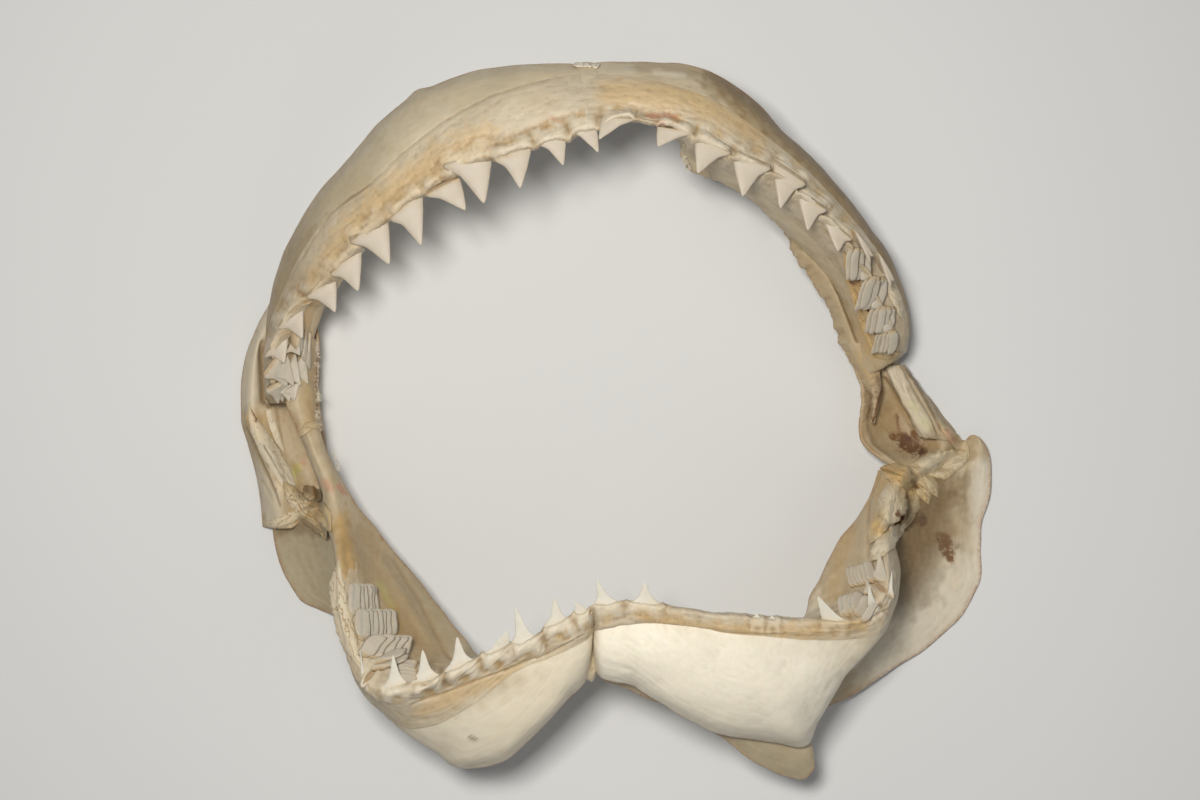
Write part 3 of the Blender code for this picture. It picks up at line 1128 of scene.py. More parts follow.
class SharedEffects:
    """The shader groups that the finishes share, each made once."""

    # lumps per metre
    BROAD, FINE, DOTS, DOTTED = 34.0, 210.0, 620.0, 90.0
    EDGES = 420.0
    WRINKLES, PORES, LUMPS = 900.0, 2600.0, 380.0
    DRAWN_OUT = (0.35, 1.6, 1.0)  # of the wrinkles, along and across

    def __init__(self) -> None:
        """Makes the groups."""
        self.mottle = self._mottle()
        self.stains = self._stains()
        self.skin = self._skin()

    def _mottle(self) -> Tree:
        """Cloudy mottling between two colours, with fine dark specks.

        Returns:
            The shader group.
        """
        inputs = {
            "Light": ("Color", (0.8, 0.7, 0.5, 1)),
            "Warm": ("Color", (0.7, 0.5, 0.3, 1)),
            "Speck": ("Color", (0.3, 0.2, 0.1, 1)),
            "Warmth": ("Float", 0.5),
            "Specks": ("Float", 0.5),
        }
        g, given, out = group("Shader", "Dried mottle", inputs, ("Color", "Color"))
        place = g.place()
        broad = g.spread(g.noise(place, self.BROAD, 5.0), 0.34, 0.68)
        fine = g.spread(g.noise(place, self.FINE, 6.0, 0.65), 0.3, 0.7)
        warm = g.times(g.plus(g.times(broad, 0.75), g.times(fine, 0.3)), given["Warmth"])
        base = g.mix(warm, given["Light"], given["Warm"])
        cells = g.add("ShaderNodeTexVoronoi", i_Vector=place, i_Scale=self.DOTS).outputs["Distance"]
        dotted = g.spread(g.noise(place, self.DOTTED, 2.0), 0.56, 0.68)
        dots = g.times(g.spread(cells, 0.16, 0.05), dotted)
        g.tree.links.new(g.mix(g.times(dots, given["Specks"]), base, given["Speck"]), out)
        return g.tree

    def _stains(self) -> Tree:
        """Lays the tints, painted shade in the hollows and the brown rim over a colour.

        Returns:
            The shader group.
        """
        inputs = {"Color": ("Color", (0.8, 0.7, 0.5, 1)), "Rim": ("Float", 0.6), "Grime": ("Float", 0.5)}
        g, given, out = group("Shader", "Painted stains", inputs, ("Color", "Color"))
        rough = g.noise(g.place(), self.EDGES, 5.0, 0.7)
        colour = given["Color"]
        for tint, paint in PAINTS.items():
            if tint in CRISP:
                torn = g.spread(rough, 0.36, 0.64)
                mask = g.times(g.mark(tint.value), g.plus(g.times(torn, 0.5), 0.3))
                mask = g.spread(mask, 0.2, 0.45)
            else:
                mask = g.times(g.mark(tint.value), g.plus(g.times(rough, 0.5), 0.6))
            colour = g.mix(mask, colour, paint)
        # Painted shade in the hollows and creases.
        colour = g.mix(g.times(g.mark("dent"), given["Grime"]), colour, HOLLOW_SHADE_COLOUR)
        rim = g.times(g.mark("rim"), g.times(given["Rim"], g.spread(rough, 0.35, 0.65)))
        g.tree.links.new(g.mix(rim, colour, RIM), out)
        return g.tree

    def _skin(self) -> Tree:
        """Height of dried skin: pores, fine wrinkles along the flow, and soft lumps.

        Returns:
            The shader group.
        """
        inputs = {"Pores": ("Float", 0.5), "Wrinkles": ("Float", 0.5), "Lumps": ("Float", 0.5)}
        g, given, out = group("Shader", "Dried skin", inputs, ("Height", "Float"))
        place = g.place()
        flow = g.add("ShaderNodeAttribute", attribute_name="flow").outputs["Vector"]
        drawn = g.add("ShaderNodeMapping", i_Vector=flow, i_Scale=self.DRAWN_OUT).outputs[0]
        wrinkles = g.times(g.noise(drawn, self.WRINKLES, 5.0, 0.6), given["Wrinkles"])
        pores = g.times(g.noise(place, self.PORES, 3.0, 0.6), given["Pores"])
        lumps = g.times(g.noise(place, self.LUMPS, 5.0, 0.6), given["Lumps"])
        total = g.plus(g.plus(wrinkles, pores, clamp=False), lumps, clamp=False)
        g.tree.links.new(total, out)
        return g.tree


@dataclass(frozen=True)
class TissueFinish:
    """Finish of cartilage, gum or ligament: its colours and how rough its skin is."""

    CLOUDS: ClassVar[float] = 160.0  # lumps per metre
    BUMP_DEPTH: ClassVar[float] = 0.0006  # metres
    SCATTER_COLOUR: ClassVar[tuple[float, float, float]] = (1.0, 0.6, 0.3)
    SCATTER_DEPTH: ClassVar[float] = 0.0022  # metres
    GLOSS: ClassVar[float] = 0.42

    name: str
    light: Colour
    warm: Colour
    speck: Colour
    warmth: float
    specks: float
    rim: float
    grime: float
    rough: tuple[float, float]
    pores: float
    wrinkles: float
    lumps: float
    bump: float
    scatter: float

    def make(self, shared: SharedEffects) -> Material:
        """Makes the material.

        Args:
            shared: The shared groups.

        Returns:
            The material.
        """
        material, g, shader = new_material(self.name)
        mottle = g.add(
            "ShaderNodeGroup", node_tree=shared.mottle, i_Light=self.light, i_Warm=self.warm,
            i_Speck=self.speck, i_Warmth=self.warmth, i_Specks=self.specks,
        )
        stains = g.add(
            "ShaderNodeGroup", node_tree=shared.stains, i_Color=mottle.outputs[0], i_Rim=self.rim,
            i_Grime=self.grime,
        )
        skin = g.add(
            "ShaderNodeGroup", node_tree=shared.skin, i_Pores=self.pores, i_Wrinkles=self.wrinkles,
            i_Lumps=self.lumps,
        )
        low, high = self.rough
        cloud = g.noise(g.place(), self.CLOUDS, 4.0)
        rough = g.add("ShaderNodeMapRange", i_0=cloud, i_1=0.3, i_2=0.7, i_3=low, i_4=high)
        bump = g.add(
            "ShaderNodeBump", i_Strength=self.bump, i_Distance=self.BUMP_DEPTH, i_Height=skin.outputs[0]
        )
        g.tree.links.new(stains.outputs[0], shader["Base Color"])
        g.tree.links.new(rough.outputs[0], shader["Roughness"])
        g.tree.links.new(bump.outputs[0], shader["Normal"])
        set_all(shader, {
            "Subsurface Weight": self.scatter, "Subsurface Radius": self.SCATTER_COLOUR,
            "Subsurface Scale": self.SCATTER_DEPTH, "Specular IOR Level": self.GLOSS,
        })
        return material


@dataclass(frozen=True)
class EnamelFinish:
    """Finish of the crowns: white enamel that a tan film covers at the base."""

    FILM_EDGE: ClassVar[float] = 260.0  # lumps per metre
    STREAKS: ClassVar[float] = 520.0
    GRAIN: ClassVar[float] = 900.0
    ROUGH: ClassVar[tuple[float, float]] = (0.46, 0.6)  # bare and under the film
    BUMP: ClassVar[tuple[float, float]] = (0.25, 0.0003)  # strength, metres
    SCATTER: ClassVar[float] = 0.25
    SCATTER_COLOUR: ClassVar[tuple[float, float, float]] = (1.0, 0.7, 0.45)
    SCATTER_DEPTH: ClassVar[float] = 0.0015  # metres
    GLOSS: ClassVar[float] = 0.36

    name: str
    enamel: Colour
    film: Colour
    root: Colour
    film_top: float

    def make(self) -> Material:
        """Makes the material.

        Returns:
            The material.
        """
        material, g, shader = new_material(self.name)
        place = g.place()
        wobble = g.times(g.spread(g.noise(place, self.FILM_EDGE, 5.0), 0.25, 0.75), 0.30)
        level = g.plus(g.mark("crown"), wobble)
        film = g.times(g.spread(level, self.film_top + 0.24, self.film_top - 0.02), 0.85)
        streak = g.spread(g.noise(place, self.STREAKS, 4.0), 0.35, 0.7)
        white = g.mix(g.times(streak, 0.35), self.enamel, self.film)
        colour = g.mix(g.spread(level, 0.13, 0.0), g.mix(film, white, self.film), self.root)
        bare, covered = self.ROUGH
        rough = g.add("ShaderNodeMapRange", i_0=film, i_1=0.0, i_2=1.0, i_3=bare, i_4=covered)
        strength, depth = self.BUMP
        grain = g.noise(place, self.GRAIN, 4.0)
        bump = g.add("ShaderNodeBump", i_Strength=strength, i_Distance=depth, i_Height=grain)
        g.tree.links.new(colour, shader["Base Color"])
        g.tree.links.new(rough.outputs[0], shader["Roughness"])
        g.tree.links.new(bump.outputs[0], shader["Normal"])
        set_all(shader, {
            "Subsurface Weight": self.SCATTER, "Subsurface Radius": self.SCATTER_COLOUR,
            "Subsurface Scale": self.SCATTER_DEPTH, "Specular IOR Level": self.GLOSS,
        })
        return material


# ---- teeth


class Ground:
    """Height of the topmost wall at each place of the picture."""

    SOFTENING = 5

    def __init__(self) -> None:
        """Starts with the bare floor."""
        self.heights = np.full(PICTURE[::-1], FLOOR)

    def add(self, points: Array) -> None:
        """Adds the front of a wall, as points in millimetres.

        Args:
            points: The points.
        """
        flat = points.reshape(-1, 3)
        x, y = np.clip(np.rint(seen_of(flat)), 0, np.array(PICTURE) - 1).astype(int).T
        np.maximum.at(self.heights, (y, x), flat[:, 2] + FLOOR)

    def settle(self) -> None:
        """Fills the gaps between the points and softens the steps between walls."""
        for axis in (0, 1, 0, 1):
            near = [np.roll(self.heights, step, axis) for step in (-1, 0, 1)]
            self.heights = np.maximum.reduce(near)
        self.heights = blurred(self.heights, self.SOFTENING)

    def at(self, seen: Array) -> Array:
        """Drawn heights at picture places.

        Args:
            seen: The picture places.

        Returns:
            The heights.
        """
        x, y = seen[..., 0], seen[..., 1]
        i, j = y.astype(int), x.astype(int)
        s, t = y - i, x - j
        h = self.heights
        upper = h[i, j] * (1 - t) + h[i, j + 1] * t
        lower = h[i + 1, j] * (1 - t) + h[i + 1, j + 1] * t
        return upper * (1 - s) + lower * s


@dataclass(frozen=True)
class Outline:
    """Drawing of a tooth one unit high.

    Attributes:
        ups: Rising heights.
        mesial, distal: Half widths of the two edges there.
        thick: Thickness for its width.
        saw: Depth of the saw edge.
        rows, ring: Points up and round it.
        bend: How far it sways.
    """

    ups: tuple[float, ...]
    mesial: tuple[float, ...]
    distal: tuple[float, ...]
    thick: float
    saw: float
    rows: int
    ring: int
    bend: float = 0.0


class Blank(Enum):
    """The kinds of tooth that are set."""

    UPPER = Outline(
        (0.0, 0.1, 0.2, 0.3, 0.45, 0.6, 0.8, 0.92, 0.97, 1.0),
        (0.50, 0.455, 0.415, 0.375, 0.31, 0.235, 0.135, 0.07, 0.035, 0.0),
        (0.50, 0.44, 0.34, 0.26, 0.20, 0.15, 0.085, 0.045, 0.025, 0.0),
        0.20, 0.012, 56, 16,
    )
    LOWER = Outline(
        (0.0, 0.08, 0.18, 0.3, 0.45, 0.6, 0.8, 0.92, 0.97, 1.0),
        (0.50, 0.43, 0.31, 0.215, 0.155, 0.12, 0.075, 0.04, 0.02, 0.0),
        (0.50, 0.44, 0.32, 0.22, 0.16, 0.12, 0.075, 0.04, 0.02, 0.0),
        0.26, 0.006, 44, 16,
    )
    RIB = Outline(
        (0.0, 0.3, 0.6, 0.85, 0.95, 1.0),
        (0.72, 0.74, 0.74, 0.72, 0.66, 0.54),
        (0.72, 0.74, 0.72, 0.62, 0.48, 0.30),
        0.24, 0.0, 10, 8, 0.10,
    )
    SPARE = Outline(
        (0.0, 0.3, 0.6, 0.85, 1.0),
        (0.50, 0.42, 0.30, 0.16, 0.03),
        (0.50, 0.40, 0.26, 0.12, 0.03),
        0.26, 0.0, 9, 8,
    )


@dataclass(frozen=True)
class Tooth:
    """One tooth by the corners that the picture shows: mesial, tip and distal.

    The height of a front tooth counts from the gum's margin. The rise is the tip's, over the base.
    """

    corners: tuple[Place, Place, Place]
    height: float
    rise: float = 2.0
    blank: Blank = Blank.UPPER
    thick: float = 1.0
    sunk: float = 2.2
    tilt: float = 0.0

    def matrix(self) -> tuple[Array, int]:
        """How the blank is placed.

        Returns:
            The 4 by 4 matrix in metres, and 1 if the blank's distal edge is on its other side.
        """
        mesial, tip, distal = self.corners
        height = self.height - self.sunk
        a = world_of(*mesial, height)
        b = world_of(*distal, height)
        t = world_of(*tip, height + self.rise)
        x, y, swapped = a - b, t - (a + b) / 2, 0
        if np.cross(x, y)[2] < 0:
            x, swapped = -x, 1
        z = np.cross(x, y)
        z *= np.linalg.norm(x) * self.thick / np.linalg.norm(z)
        matrix = np.eye(4)
        tipped = x + self.tilt * z * (np.linalg.norm(x) / np.linalg.norm(z))
        matrix[:3, 0], matrix[:3, 1], matrix[:3, 2] = tipped, y, z
        matrix[:3, 3] = (a + b) / 2
        matrix[:3] *= MM
        return matrix, swapped


@dataclass(frozen=True)
class ToothFile:
    """A file of spare teeth, laid like shingles from the first tooth to the last.

    Their heights count from what they lie on, and their rises from how it runs to their tips.
    """

    LOOSE: ClassVar[float] = 0.35  # units
    STEEPEST: ClassVar[float] = 7.0

    first: Tooth
    last: Tooth
    count: int

    def teeth(self, ground: Ground) -> list[Tooth]:
        """The teeth of the file, laid on the ground.

        Args:
            ground: Heights of what lies beneath.

        Returns:
            The teeth in their order.
        """
        found = []
        rng = np.random.default_rng(int(sum(self.first.corners[0])))
        ends = np.array((self.first.corners, self.last.corners), float)
        for i in range(self.count):
            t = i / max(self.count - 1, 1)
            loose = rng.normal(0, self.LOOSE, 2) + rng.normal(0, self.LOOSE, (3, 2))
            corners = tuple(map(tuple, ends[0] + (ends[1] - ends[0]) * t + loose))
            lift = self.first.height + (self.last.height - self.first.height) * t
            rise = self.first.rise + (self.last.rise - self.first.rise) * t
            mesial, tip, distal = np.array(corners)
            base, end = ground.at(np.stack(((mesial + distal) / 2, tip)))
            rise += float(np.clip(end - base, -self.STEEPEST, self.STEEPEST))
            found.append(replace(self.first, corners=corners, height=base + lift, rise=rise, sunk=0.0))
        return found


def teeth(table: str) -> tuple[Tooth, ...]:
    """Teeth, with blank, height, rise and thickness as the head.

    Args:
        table: The text table.

    Returns:
        One tooth for each row.
    """
    return tuple(
        Tooth(points, float(height), float(rise), Blank[kind.upper()], *map(float, thick))
        for (kind, height, rise, *thick), points in read(table)
    )


def files(table: str) -> tuple[ToothFile, ...]:
    """Files, with blank, count, two heights, two rises, thickness and tilt as the head.

    Args:
        table: The text table.

    Returns:
        One file for each row.
    """
    found = []
    for (kind, *head), points in read(table):
        count, low, high, near, far, thick, tilt = map(float, head)
        first = Tooth(points[:3], low, near, Blank[kind.upper()], thick, tilt=tilt)
        found.append(ToothFile(first, replace(first, corners=points[3:], height=high, rise=far), int(count)))
    return tuple(found)


class Dentition:
    """Blank teeth, and the Geometry Nodes tree that sets them in rows."""

    VARIANTS = 3
    ROOT = (-0.15, -0.04)  # heights
    TOP = 0.985
    SAW = (0.04, 0.93)  # heights
    TIP = (0, 1.0, -0.03)
    POLE = (0, -0.17, -0.16)
    UNEVEN = 0.05  # how much the two edges differ from tooth to tooth
    ROOT_TAPER = 0.45
    SERRATIONS = 15
    SWAY = 5.5  # radians for one height
    THINNEST = 0.006
    FACE, TONGUE = 0.30, 1.0  # how far the flat outer and the round inner side stand out
    CHIP_SIZE = 260.0  # lumps per metre

    def __init__(self) -> None:
        """Makes the blanks and the tree."""
        self.blanks = bpy.data.collections.new("tooth_blanks")
        self.order: dict[tuple[Blank, int, int], int] = {}
        for kind in Blank:
            for swapped in (0, 1):
                for variant in range(self.VARIANTS):
                    index = len(self.order)
                    self.order[kind, swapped, variant] = index
                    mesh = self._blank_mesh(kind, swapped, variant, f"blank_{index:02d}")
                    self.blanks.objects.link(bpy.data.objects.new(mesh.name, mesh))
        self.tree = self._tree()

    def _blank_mesh(self, kind: Blank, swapped: int, variant: int, name: str) -> bpy.types.Mesh:
        """A closed tooth one unit wide and one high, with its crown's height as an attribute.

        Args:
            kind: The blank.
            swapped: One for a mirrored tooth, else nought.
            variant: Number of the variant.
            name: Name of the mesh.

        Returns:
            The mesh.
        """
        drawn = kind.value
        rng = np.random.default_rng(variant * 7 + drawn.rows)
        bent = 1 + self.UNEVEN * rng.normal(size=2)
        root = np.linspace(*self.ROOT, max(drawn.rows // 8, 2))
        heights = np.concatenate((root, np.linspace(0.0, self.TOP, drawn.rows)))
        angles = np.linspace(0, 2 * math.pi, drawn.ring, endpoint=False)
        verts, marks = [], []
        for v in heights:
            up = max(v, 0.0)
            right = np.interp(up, drawn.ups, drawn.mesial) * (1 + (bent[0] - 1) * up)
            left = np.interp(up, drawn.ups, drawn.distal) * (1 + (bent[1] - 1) * up)
            width = right + left
            if v < 0:
                right = left = 0.5 * (1 + self.ROOT_TAPER * v)
            elif self.SAW[0] < v < self.SAW[1]:
                beat = drawn.saw * (abs(math.sin(v * math.pi * self.SERRATIONS + variant)) - 0.5)
                right, left = right + beat, left + beat
            half = (right + left) / 2
            centre = (right - left) / 2 + drawn.bend * math.sin(self.SWAY * v + variant)
            depth = drawn.thick * width**0.8 + self.THINNEST
            drop = 0.8 * min(v, 0.0) - 0.03 * up
            for turn in angles:
                x = math.cos(turn)
                rise = math.sin(turn)
                flat, full = (1 - x * x) ** 0.5, (1 - x * x) ** 0.7
                z = depth * (self.FACE * flat if rise > 0 else -self.TONGUE * full)
                verts.append(((centre + half * x) * (-1 if swapped else 1), v, z + drop))
                marks.append(v)
        verts += [self.TIP, self.POLE]
        marks += [1.0, self.ROOT[0]]
        faces = self._blank_faces(len(heights), drawn.ring)
        if not swapped:
            faces = [face[::-1] for face in faces]
        mesh = bpy.data.meshes.new(name)
        mesh.from_pydata(verts, [], faces)
        mesh.attributes.new("crown", "FLOAT", "POINT").data.foreach_set("value", marks)
        mesh.shade_smooth()
        return mesh

    @staticmethod
    def _blank_faces(levels: int, ring: int) -> list[tuple[int, ...]]:
        """Faces of a tooth of stacked rings, with its tip and its pole as the last two points.

        Args:
            levels: Number of rings.
            ring: Number of points in each.

        Returns:
            The faces by their points.
        """
        top, bottom, last = levels * ring, levels * ring + 1, (levels - 1) * ring
        sides, caps = [], []
        for j in range(ring):
            k = (j + 1) % ring
            caps += [(last + j, last + k, top), (k, j, bottom)]
        for i in range(0, last, ring):
            for j in range(ring):
                k = (j + 1) % ring
                sides.append((i + j, i + k, i + ring + k, i + ring + j))
        return sides + caps

    def _tree(self) -> Tree:
        """The tree that places one blank on each point by the point's own matrix.

        Returns:
            The node tree.
        """
        inputs = {
            "Geometry": ("Geometry", None),
            "Blanks": ("Collection", None),
            "Chips": ("Float", None),
            "Seed": ("Int", None),
            "Finish": ("Material", None),
        }
        g, given, out = group("Geometry", "Set teeth", inputs, ("Geometry", "Geometry"))
        info = g.add("GeometryNodeCollectionInfo", i_0=given["Blanks"])
        set_all(info.inputs, {"Separate Children": True, "Reset Children": True})
        kind = g.add("GeometryNodeInputNamedAttribute", data_type="INT", i_0="kind")
        place = g.add("GeometryNodeInputNamedAttribute", data_type="FLOAT4X4", i_0="place")
        points = g.add("GeometryNodeMeshToPoints", i_Mesh=given["Geometry"])
        put = g.add(
            "GeometryNodeInstanceOnPoints", i_Points=points.outputs[0], i_Instance=info.outputs[0],
            i_Pick_Instance=True, i_Instance_Index=kind.outputs[0],
        )
        move = g.add(
            "GeometryNodeSetInstanceTransform", i_Instances=put.outputs[0], i_Transform=place.outputs[0]
        )
        real = g.add("GeometryNodeRealizeInstances", i_Geometry=move.outputs[0])
        spot = g.add("GeometryNodeInputPosition")
        wave = g.add(
            "ShaderNodeTexNoise", noise_dimensions="4D", i_Vector=spot.outputs[0], i_W=given["Seed"],
            i_Scale=self.CHIP_SIZE, i_Detail=2.0,
        )
        centred = g.vectors("SUBTRACT", wave.outputs["Color"], i_1=(0.5, 0.5, 0.5))
        sized = g.vectors("SCALE", centred.outputs[0], i_Scale=given["Chips"])
        shift = g.add("GeometryNodeSetPosition", i_Geometry=real.outputs[0], i_Offset=sized.outputs[0])
        finish = g.add(
            "GeometryNodeSetMaterial", i_Geometry=shift.outputs[0], i_Material=given["Finish"]
        )
        g.tree.links.new(finish.outputs[0], out)
        return g.tree

    def place(
        self, name: str, teeth: Sequence[Tooth], chips: float, seed: int, finish: Material
    ) -> Thing:
        """Sets teeth as one plain mesh.

        Args:
            name: Name of the piece.
            teeth: The teeth.
            chips: How far the noise moves their surface, in metres.
            seed: Seed of that noise and of the choice of blanks.
            finish: Their material.

        Returns:
            The piece.
        """
        rng = np.random.default_rng(seed)
        matrices, kinds = [], []
        for tooth in teeth:
            matrix, swapped = tooth.matrix()
            matrices.append(matrix)
            kinds.append(self.order[tooth.blank, swapped, int(rng.integers(self.VARIANTS))])
        mesh = bpy.data.meshes.new(name)
        mesh.from_pydata([matrix[:3, 3].tolist() for matrix in matrices], [], [])
        layer = mesh.attributes.new("place", "FLOAT4X4", "POINT")
        layer.data.foreach_set("value", np.array([m.T.ravel() for m in matrices], np.float32).ravel())
        mesh.attributes.new("kind", "INT", "POINT").data.foreach_set("value", kinds)
        inputs = {"Blanks": self.blanks, "Chips": chips, "Seed": seed, "Finish": finish}
        return grown(name, mesh, self.tree, inputs)


def grown(
    name: str, mesh: bpy.types.Mesh, tree: Tree, inputs: dict[str, object]
) -> Thing:
    """Runs a Geometry Nodes tree on a mesh and keeps the result as a plain mesh.

    Args:
        name: Name of the piece.
        mesh: What the tree starts from.
        tree: The tree.
        inputs: Its inputs by name.

    Returns:
        The piece.
    """
    obj = bpy.data.objects.new(name, mesh)
    bpy.context.scene.collection.objects.link(obj)
    modifier = obj.modifiers.new("grow", "NODES")
    modifier.node_group = tree
    for item in tree.interface.items_tree:
        if item.item_type == "SOCKET" and item.in_out == "INPUT" and item.name in inputs:
            modifier[item.identifier] = inputs[item.name]
    graph = bpy.context.evaluated_depsgraph_get()
    result = bpy.data.meshes.new_from_object(obj.evaluated_get(graph))
    obj.modifiers.remove(modifier)
    obj.data = result
    result.name = name
    return obj


# ---- frayed edges


@dataclass(frozen=True)
class Fray:
    """Frayed fibres along a line of the picture: heights at its ends, direction, count and length."""

    path: tuple[Place, ...]
    heights: tuple[float, float]
    out: Place
    count: int
    length: float
    thick: float = 0.22


class FrayMaker:
    """The Geometry Nodes tree that grows dried fibres from points."""

    BUNCH = 9  # fibres
    PULL = 0.65  # of the way to the middle of the bunch
    SCATTER = (0.5, 0.3, 0.7)  # mm
    TANGLE = 0.3
    LENGTHS = (0.3, 1.2)  # of the drawn length

    def __init__(self, finish: Material) -> None:
        """Makes the fibre and the tree."""
        self.finish = finish
        self.tree = self._tree()

    def _tree(self) -> Tree:
        """The tree that sets a tapered fibre on each point, turned by its own vector.

        Returns:
            The node tree.
        """
        inputs = {
            "Geometry": ("Geometry", None),
            "Thickness": ("Float", None),
            "Tangle": ("Float", None),
            "Seed": ("Int", None),
            "Finish": ("Material", None),
        }
        g, given, out = group("Geometry", "Frayed edge", inputs, ("Geometry", "Geometry"))
        cone = g.add("GeometryNodeMeshCone", fill_type="TRIANGLE_FAN")
        set_all(cone.inputs, {
            "Vertices": 5, "Side Segments": 3, "Radius Top": 0.25, "Radius Bottom": 1.0, "Depth": 1.0
        })
        aim = g.add("GeometryNodeInputNamedAttribute", data_type="FLOAT_VECTOR", i_0="aim")
        jitter = g.add("FunctionNodeRandomValue", data_type="FLOAT_VECTOR", i_Seed=given["Seed"])
        jitter.inputs[0].default_value = (-1, -1, -1)
        jitter.inputs[1].default_value = (1, 1, 1)
        loose = g.vectors("SCALE", jitter.outputs[0], i_Scale=given["Tangle"])
        length = g.vectors("LENGTH", aim.outputs[0]).outputs["Value"]
        unit = g.vectors("NORMALIZE", aim.outputs[0])
        turned = g.vectors("ADD", unit.outputs[0], i_1=loose.outputs[0])
        align = g.add("FunctionNodeAlignRotationToVector", axis="Z", i_Vector=turned.outputs[0])
        thick = given["Thickness"]
        size = g.add("ShaderNodeCombineXYZ", i_0=thick, i_1=thick, i_2=length)
        points = g.add("GeometryNodeMeshToPoints", i_Mesh=given["Geometry"])
        put = g.add(
            "GeometryNodeInstanceOnPoints", i_Points=points.outputs[0], i_Instance=cone.outputs[0],
            i_Rotation=align.outputs[0], i_Scale=size.outputs[0],
        )
        real = g.add("GeometryNodeRealizeInstances", i_Geometry=put.outputs[0])
        finish = g.add("GeometryNodeSetMaterial", i_Geometry=real.outputs[0], i_Material=given["Finish"])
        g.tree.links.new(finish.outputs[0], out)
        return g.tree

    def make(self, name: str, frays: Sequence[Fray], seed: int) -> Thing:
        """Grows the fibres of several edges as one piece.

        Args:
            name: Name of the piece.
            frays: The edges.
            seed: Seed of every random choice.

        Returns:
            The piece.
        """
        rng = np.random.default_rng(seed)
        places, aims = [], []
        for fray in frays:
            line = np.array(fray.path, float)
            steps = np.concatenate(([0], np.cumsum(np.linalg.norm(np.diff(line, axis=0), axis=1))))
            bunches = rng.normal(0, 0.5, (fray.count // self.BUNCH + 2, 3))
            for t in rng.uniform(0, 1, fray.count):
                index = round(t * (len(bunches) - 1))
                t += self.PULL * (index / (len(bunches) - 1) - t)
                x, y = (np.interp(t * steps[-1], steps, line[:, axis]) for axis in (0, 1))
                height = fray.heights[0] + (fray.heights[1] - fray.heights[0]) * t
                root = world_of(x, y, height) + rng.normal(0, self.SCATTER, 3)
                aim = np.array((fray.out[0], -fray.out[1], 0.15))
                aim = aim + bunches[index] + rng.normal(0, self.TANGLE, 3)
                aim *= fray.length * rng.uniform(*self.LENGTHS) / np.linalg.norm(aim)
                places.append((root * MM).tolist())
                aims.append(aim * MM)
        mesh = bpy.data.meshes.new(name)
        mesh.from_pydata(places, [], [])
        layer = mesh.attributes.new("aim", "FLOAT_VECTOR", "POINT")
        layer.data.foreach_set("vector", np.array(aims, np.float32).ravel())
        obj = grown(name, mesh, self.tree, {
            "Thickness": frays[0].thick * MM, "Tangle": self.TANGLE, "Seed": seed, "Finish": self.finish
        })
        obj.data.shade_smooth()
        return obj


# ---- dried tissue


@dataclass(frozen=True)
class Fold:
    """A fold of dried tissue laid on the walls.

    Attributes:
        path: Picture places with half widths.
        rise: Height in mm.
        rough: How lumpy and creased it is.
        torn: How uneven its edges are.
    """

    FINENESS: ClassVar[float] = 1.6  # points for one unit
    SKIRT: ClassVar[tuple[float, float]] = (0.4, 1.6)  # mm that the edge and the back lie deeper
    DRAPE: ClassVar[tuple[float, float]] = (0.35, 0.8)  # how steeply it may hang, and from where

    path: tuple[tuple[float, float, float], ...]
    rise: float
    rough: float = 0.5
    torn: float = 0.25

    def surface(self, ground: Ground, seed: int) -> tuple[Array, Array, Array, Array]:
        """The fold's grid.

        Args:
            ground: What it lies on.
            seed: Seed of its lumps.

        Returns:
            Front points, back points, the place along and across, and how creased each point is.
        """
        drawn = np.array(self.path, float)
        steps = np.linalg.norm(np.diff(drawn[:, :2], axis=0), axis=1)
        reach = np.concatenate(([0], np.cumsum(steps)))
        at = np.linspace(0, reach[-1], int(reach[-1] * self.FINENESS) + 3)
        line = smooth_between(reach, drawn, at)
        run = np.gradient(line[:, :2], axis=0)
        run /= np.linalg.norm(run, axis=1, keepdims=True)
        side = np.stack((-run[:, 1], run[:, 0]), axis=-1)
        ends = np.clip(1 - np.abs(2 * at / reach[-1] - 1) ** 2.6, 0.02, 1) ** 0.6
        across = np.linspace(-1, 1, 2 * int(drawn[:, 2].max() * self.FINENESS) + 3)
        edge = np.stack((at * 0.3, at * 0 + seed, at * 0), axis=-1)
        half = [line[:, 2] * ends * (1 + self.torn * Noise(2.0, 3, seed + k).at(edge)) for k in (0, 1)]
        half = np.where(across < 0, half[0][:, None], half[1][:, None])
        seen = line[:, None, :2] + side[:, None] * (half * across)[..., None]
        slope, free = self.DRAPE
        middle = ground.at(line[:, :2])[:, None]
        floor = np.maximum(ground.at(seen), middle - slope * np.abs(half * across) - free)
        flow = np.stack((at[:, None] + across * 0, half * across, across + at[:, None] * 0), axis=-1)
        flow *= unit_at(GAPE_HEIGHT)
        place = world_at(seen, floor)
        crease = np.exp(-((Noise(5.0, 3, seed + 2).at(flow, (2.0, 0.9, 1)) / 0.08) ** 2))
        fine = Noise(2.8, 3, seed + 4).at(flow, (3.0, 0.8, 1))
        lumps = 0.5 * Noise(6.0, 3, seed + 3).at(place) + 0.7 * fine
        dome = (1 - across**2) ** 0.6 * ends[:, None]
        rise = self.rise * (1 + self.rough * lumps) - 0.9 * self.rough * crease
        edge, under = self.SKIRT
        front = world_at(seen, np.maximum(floor - edge + dome * (rise + edge), FLOOR))
        back = world_at(seen, np.maximum(floor - under, FLOOR))
        return front, back, flow, crease * self.rough


def folds(table: str) -> tuple[Fold, ...]:
    """Folds, with rise, roughness and tearing as the head."""
    return tuple(Fold(points, *map(float, head)) for head, points in read(table))


